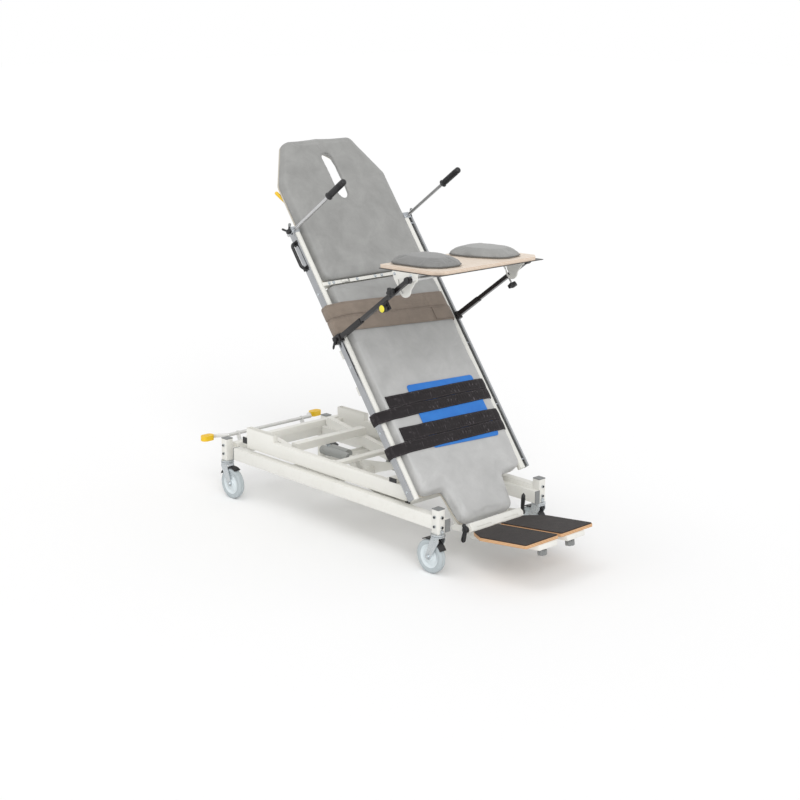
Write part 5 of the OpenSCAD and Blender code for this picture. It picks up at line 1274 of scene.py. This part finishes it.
def makeTray():
    (x0, x1), half, low, out = tray["x"], tray["half"], tray["low"], tray["sheetOut"]
    bm = bmesh.new()
    addPrism(bm, trayOutline(0.1), low, low + tray["thick"], round=1.5)
    makePiece("trayBoard", bm, "trayWood", "tray_board", onTray)
    bm = bmesh.new()
    addBlock(bm, (x0, -half - out, low - tray["sheet"]), (x1 + out, half + out, low - 0.1), 0.7)
    makePiece("traySheet", bm, "sheet", "tray_board", onTray, False)
    softened("tray_frame", "paint", 0.0009, offRod, "trayPlates")
    bm = bmesh.new()
    addTube(bm, *domed((0, -tray["rodHalf"], 0), (0, tray["rodHalf"], 0), tray["rod"], tray["rod"], 2), 32)
    makePiece("trayRod", bm, "satin", "tray_frame", onTray, False)
    bm = bmesh.new()
    for cap in (tray["cap"], [(r, -h) for r, h in reversed(tray["cap"])]):
        addTurned(bm, cap, alongY(0, 0, 0), 32)
    makePiece("trayRodCaps", bm, "black", "tray_frame", onTray, False)
    y, z = tray["boltOut"]
    bolts = [[((x, s * y, z), (0, s, 0))] for s in (-1, 1) for x in tray["boltsAt"]]
    grow("trayPlateBolts", "bolts", tray["bolt"], bolts, onTray, "tray_frame", "zinc")


# star knobs have lobes and an end cap; the yellow faced one is round
knob = {
    "near": (778, 372.3, 405), "yellow": (744, 369.3, 323), "far": (768.7, -363, 365), "lobes": 5,
    "radius": 22, "high": 18, "star": [(0.86, 0), (0.97, 1.2), (1, 3.5), (1, 14), (0.96, 16.6), (0.84, 18)],
    "cap": [(0, 0), (8, 0), (8.8, 1.4), (8, 3.4), (0, 3.4)],
    "collar": [(0, 0), (8, 0), (9, 1), (9, 8), (0, 8)],
    "yellowKnobBody": [(0, 11), (16, 11), (17, 12.5), (17, 26), (16, 27.2), (0, 27.2)],
    "yellowKnobFace": [(0, 27), (15, 27), (15.4, 27.6), (14.6, 28.2), (0, 28.4)],
    "yellowKnobNeck": [(0, -10), (3.95, -10), (3.95, 0.1), (7, 0.1), (8, 1), (8, 11.2), (0, 11.2)],
    "farKnobSpindle": [(0, -8), (3.95, -8), (3.95, 0.6), (6, 0.6), (6.4, 1.2), (6.4, 5), (4.4, 6),
                       (4.4, 30.5), (0, 30.5)],
}


def starOn(bm, place, low):
    # a lobed head from a height up, and its cap
    ring = []
    count = knob["lobes"] * 12
    for k in range(count):
        a = 2 * math.pi * k / count
        r = knob["radius"] * (0.86 + 0.14 * math.cos(knob["lobes"] * a))
        ring.append((r * math.cos(a), r * math.sin(a)))
    addLoft(bm, [[place @ Vector((x * share, y * share, low + h)) for x, y in ring]
                 for share, h in knob["star"]])
    cap = low + knob["high"] - 0.4
    addTurned(bm, [(r, cap + h) for r, h in knob["cap"]], place, 28)


def turnedPiece(name, place, sides, finish, node, stands=True):
    bm = bmesh.new()
    addTurned(bm, knob[name], place, sides)
    makePiece(name, bm, finish, node, onTop, stands, 50)


def makeKnobs():
    near, yellow = alongY(*knob["near"]), alongY(*knob["yellow"])
    far = axes(knob["far"], (0, 0, 1), (0, 1, 0))
    bm = bmesh.new()
    addTurned(bm, knob["collar"], near, 28)
    starOn(bm, near, 8)
    makePiece("trayKnobNear", bm, "black", "tray_knob_near", onTop, True, 50)
    turnedPiece("yellowKnobBody", yellow, 40, "black", "tray_knob_yellow")
    turnedPiece("yellowKnobFace", yellow, 40, "lemon", "tray_knob_yellow", False)
    turnedPiece("yellowKnobNeck", yellow, 28, "chrome", "tray_knob_yellow", False)
    turnedPiece("farKnobSpindle", far, 28, "chrome", "tray_knob_far")
    bm = bmesh.new()
    starOn(bm, far, 30)
    makePiece("farKnob", bm, "black", "tray_knob_far", onTop, False, 50)


makeTray()
makeKnobs()
print("tray ready")

view = {"at": (5.07124, -4.8070, 2.4266), "yaw": 136.77, "pitch": -12.85, "roll": 0.24, "lens": 71.164,
        "shift": (0.0114, -0.0633)}
camera = linked("camera", bpy.data.cameras.new("camera"))
yaw, pitch = math.radians(view["yaw"]), math.radians(view["pitch"])
forward = Vector((math.cos(pitch) * math.cos(yaw), math.cos(pitch) * math.sin(yaw), math.sin(pitch)))
camera.location = view["at"]
camera.rotation_mode = "QUATERNION"
turn = forward.to_track_quat("-Z", "Y")
camera.rotation_quaternion = turn @ Matrix.Rotation(math.radians(view["roll"]), 3, "Z").to_quaternion()
camera.data.lens = view["lens"]
camera.data.sensor_width = 36
camera.data.shift_x, camera.data.shift_y = view["shift"]
camera.data.clip_end = 100
scene.camera = camera

light = {"world": 0.75, "floor": 0.95, "key": 1.25, "fill": 0.35, "spread": 40}
floorMesh = bpy.data.meshes.new("floor")
floorMesh.from_pydata([(-40, -40, 0), (40, -40, 0), (40, 40, 0), (-40, 40, 0)], [], [(0, 1, 2, 3)])
floor = linked("floor", floorMesh)
floorFinish = Finish("floorFinish", 0.95)
floorFinish.set("Base Color", (light["floor"],) * 3 + (1,))
floorFinish.set("Specular IOR Level", 0.0)
floorMesh.materials.append(floorFinish.material)

world = bpy.data.worlds.new("studio")
world.use_nodes = True
scene.world = world
sky = Tree(world.node_tree)
background = sky.tree.nodes["Background"]
background.inputs["Color"].default_value = (1, 1, 1, 1)
rays = sky.tree.nodes.new("ShaderNodeLightPath").outputs
seen = sky.sum(rays["Is Camera Ray"], rays["Is Glossy Ray"], "MAXIMUM")
clear = sky.sum(seen, rays["Is Transmission Ray"], "MAXIMUM")
strength = sky.add("ShaderNodeMapRange", {"Value": clear, "To Min": light["world"], "To Max": 1.0})
sky.join(strength, background.inputs["Strength"])


def addSun(name, toward, power):
    sun = bpy.data.lights.new(name, "SUN")
    sun.energy = power
    sun.angle = math.radians(light["spread"])
    holder = linked(name, sun)
    holder.rotation_mode = "QUATERNION"
    holder.rotation_quaternion = Vector(toward).to_track_quat("-Z", "Y")


addSun("keyLight", (-0.8, 0.6, -0.62), light["key"])
addSun("fillLight", (0.2, 0.3, -1.0), light["fill"])
scene.view_settings.view_transform = "Standard"
print("camera and light ready")
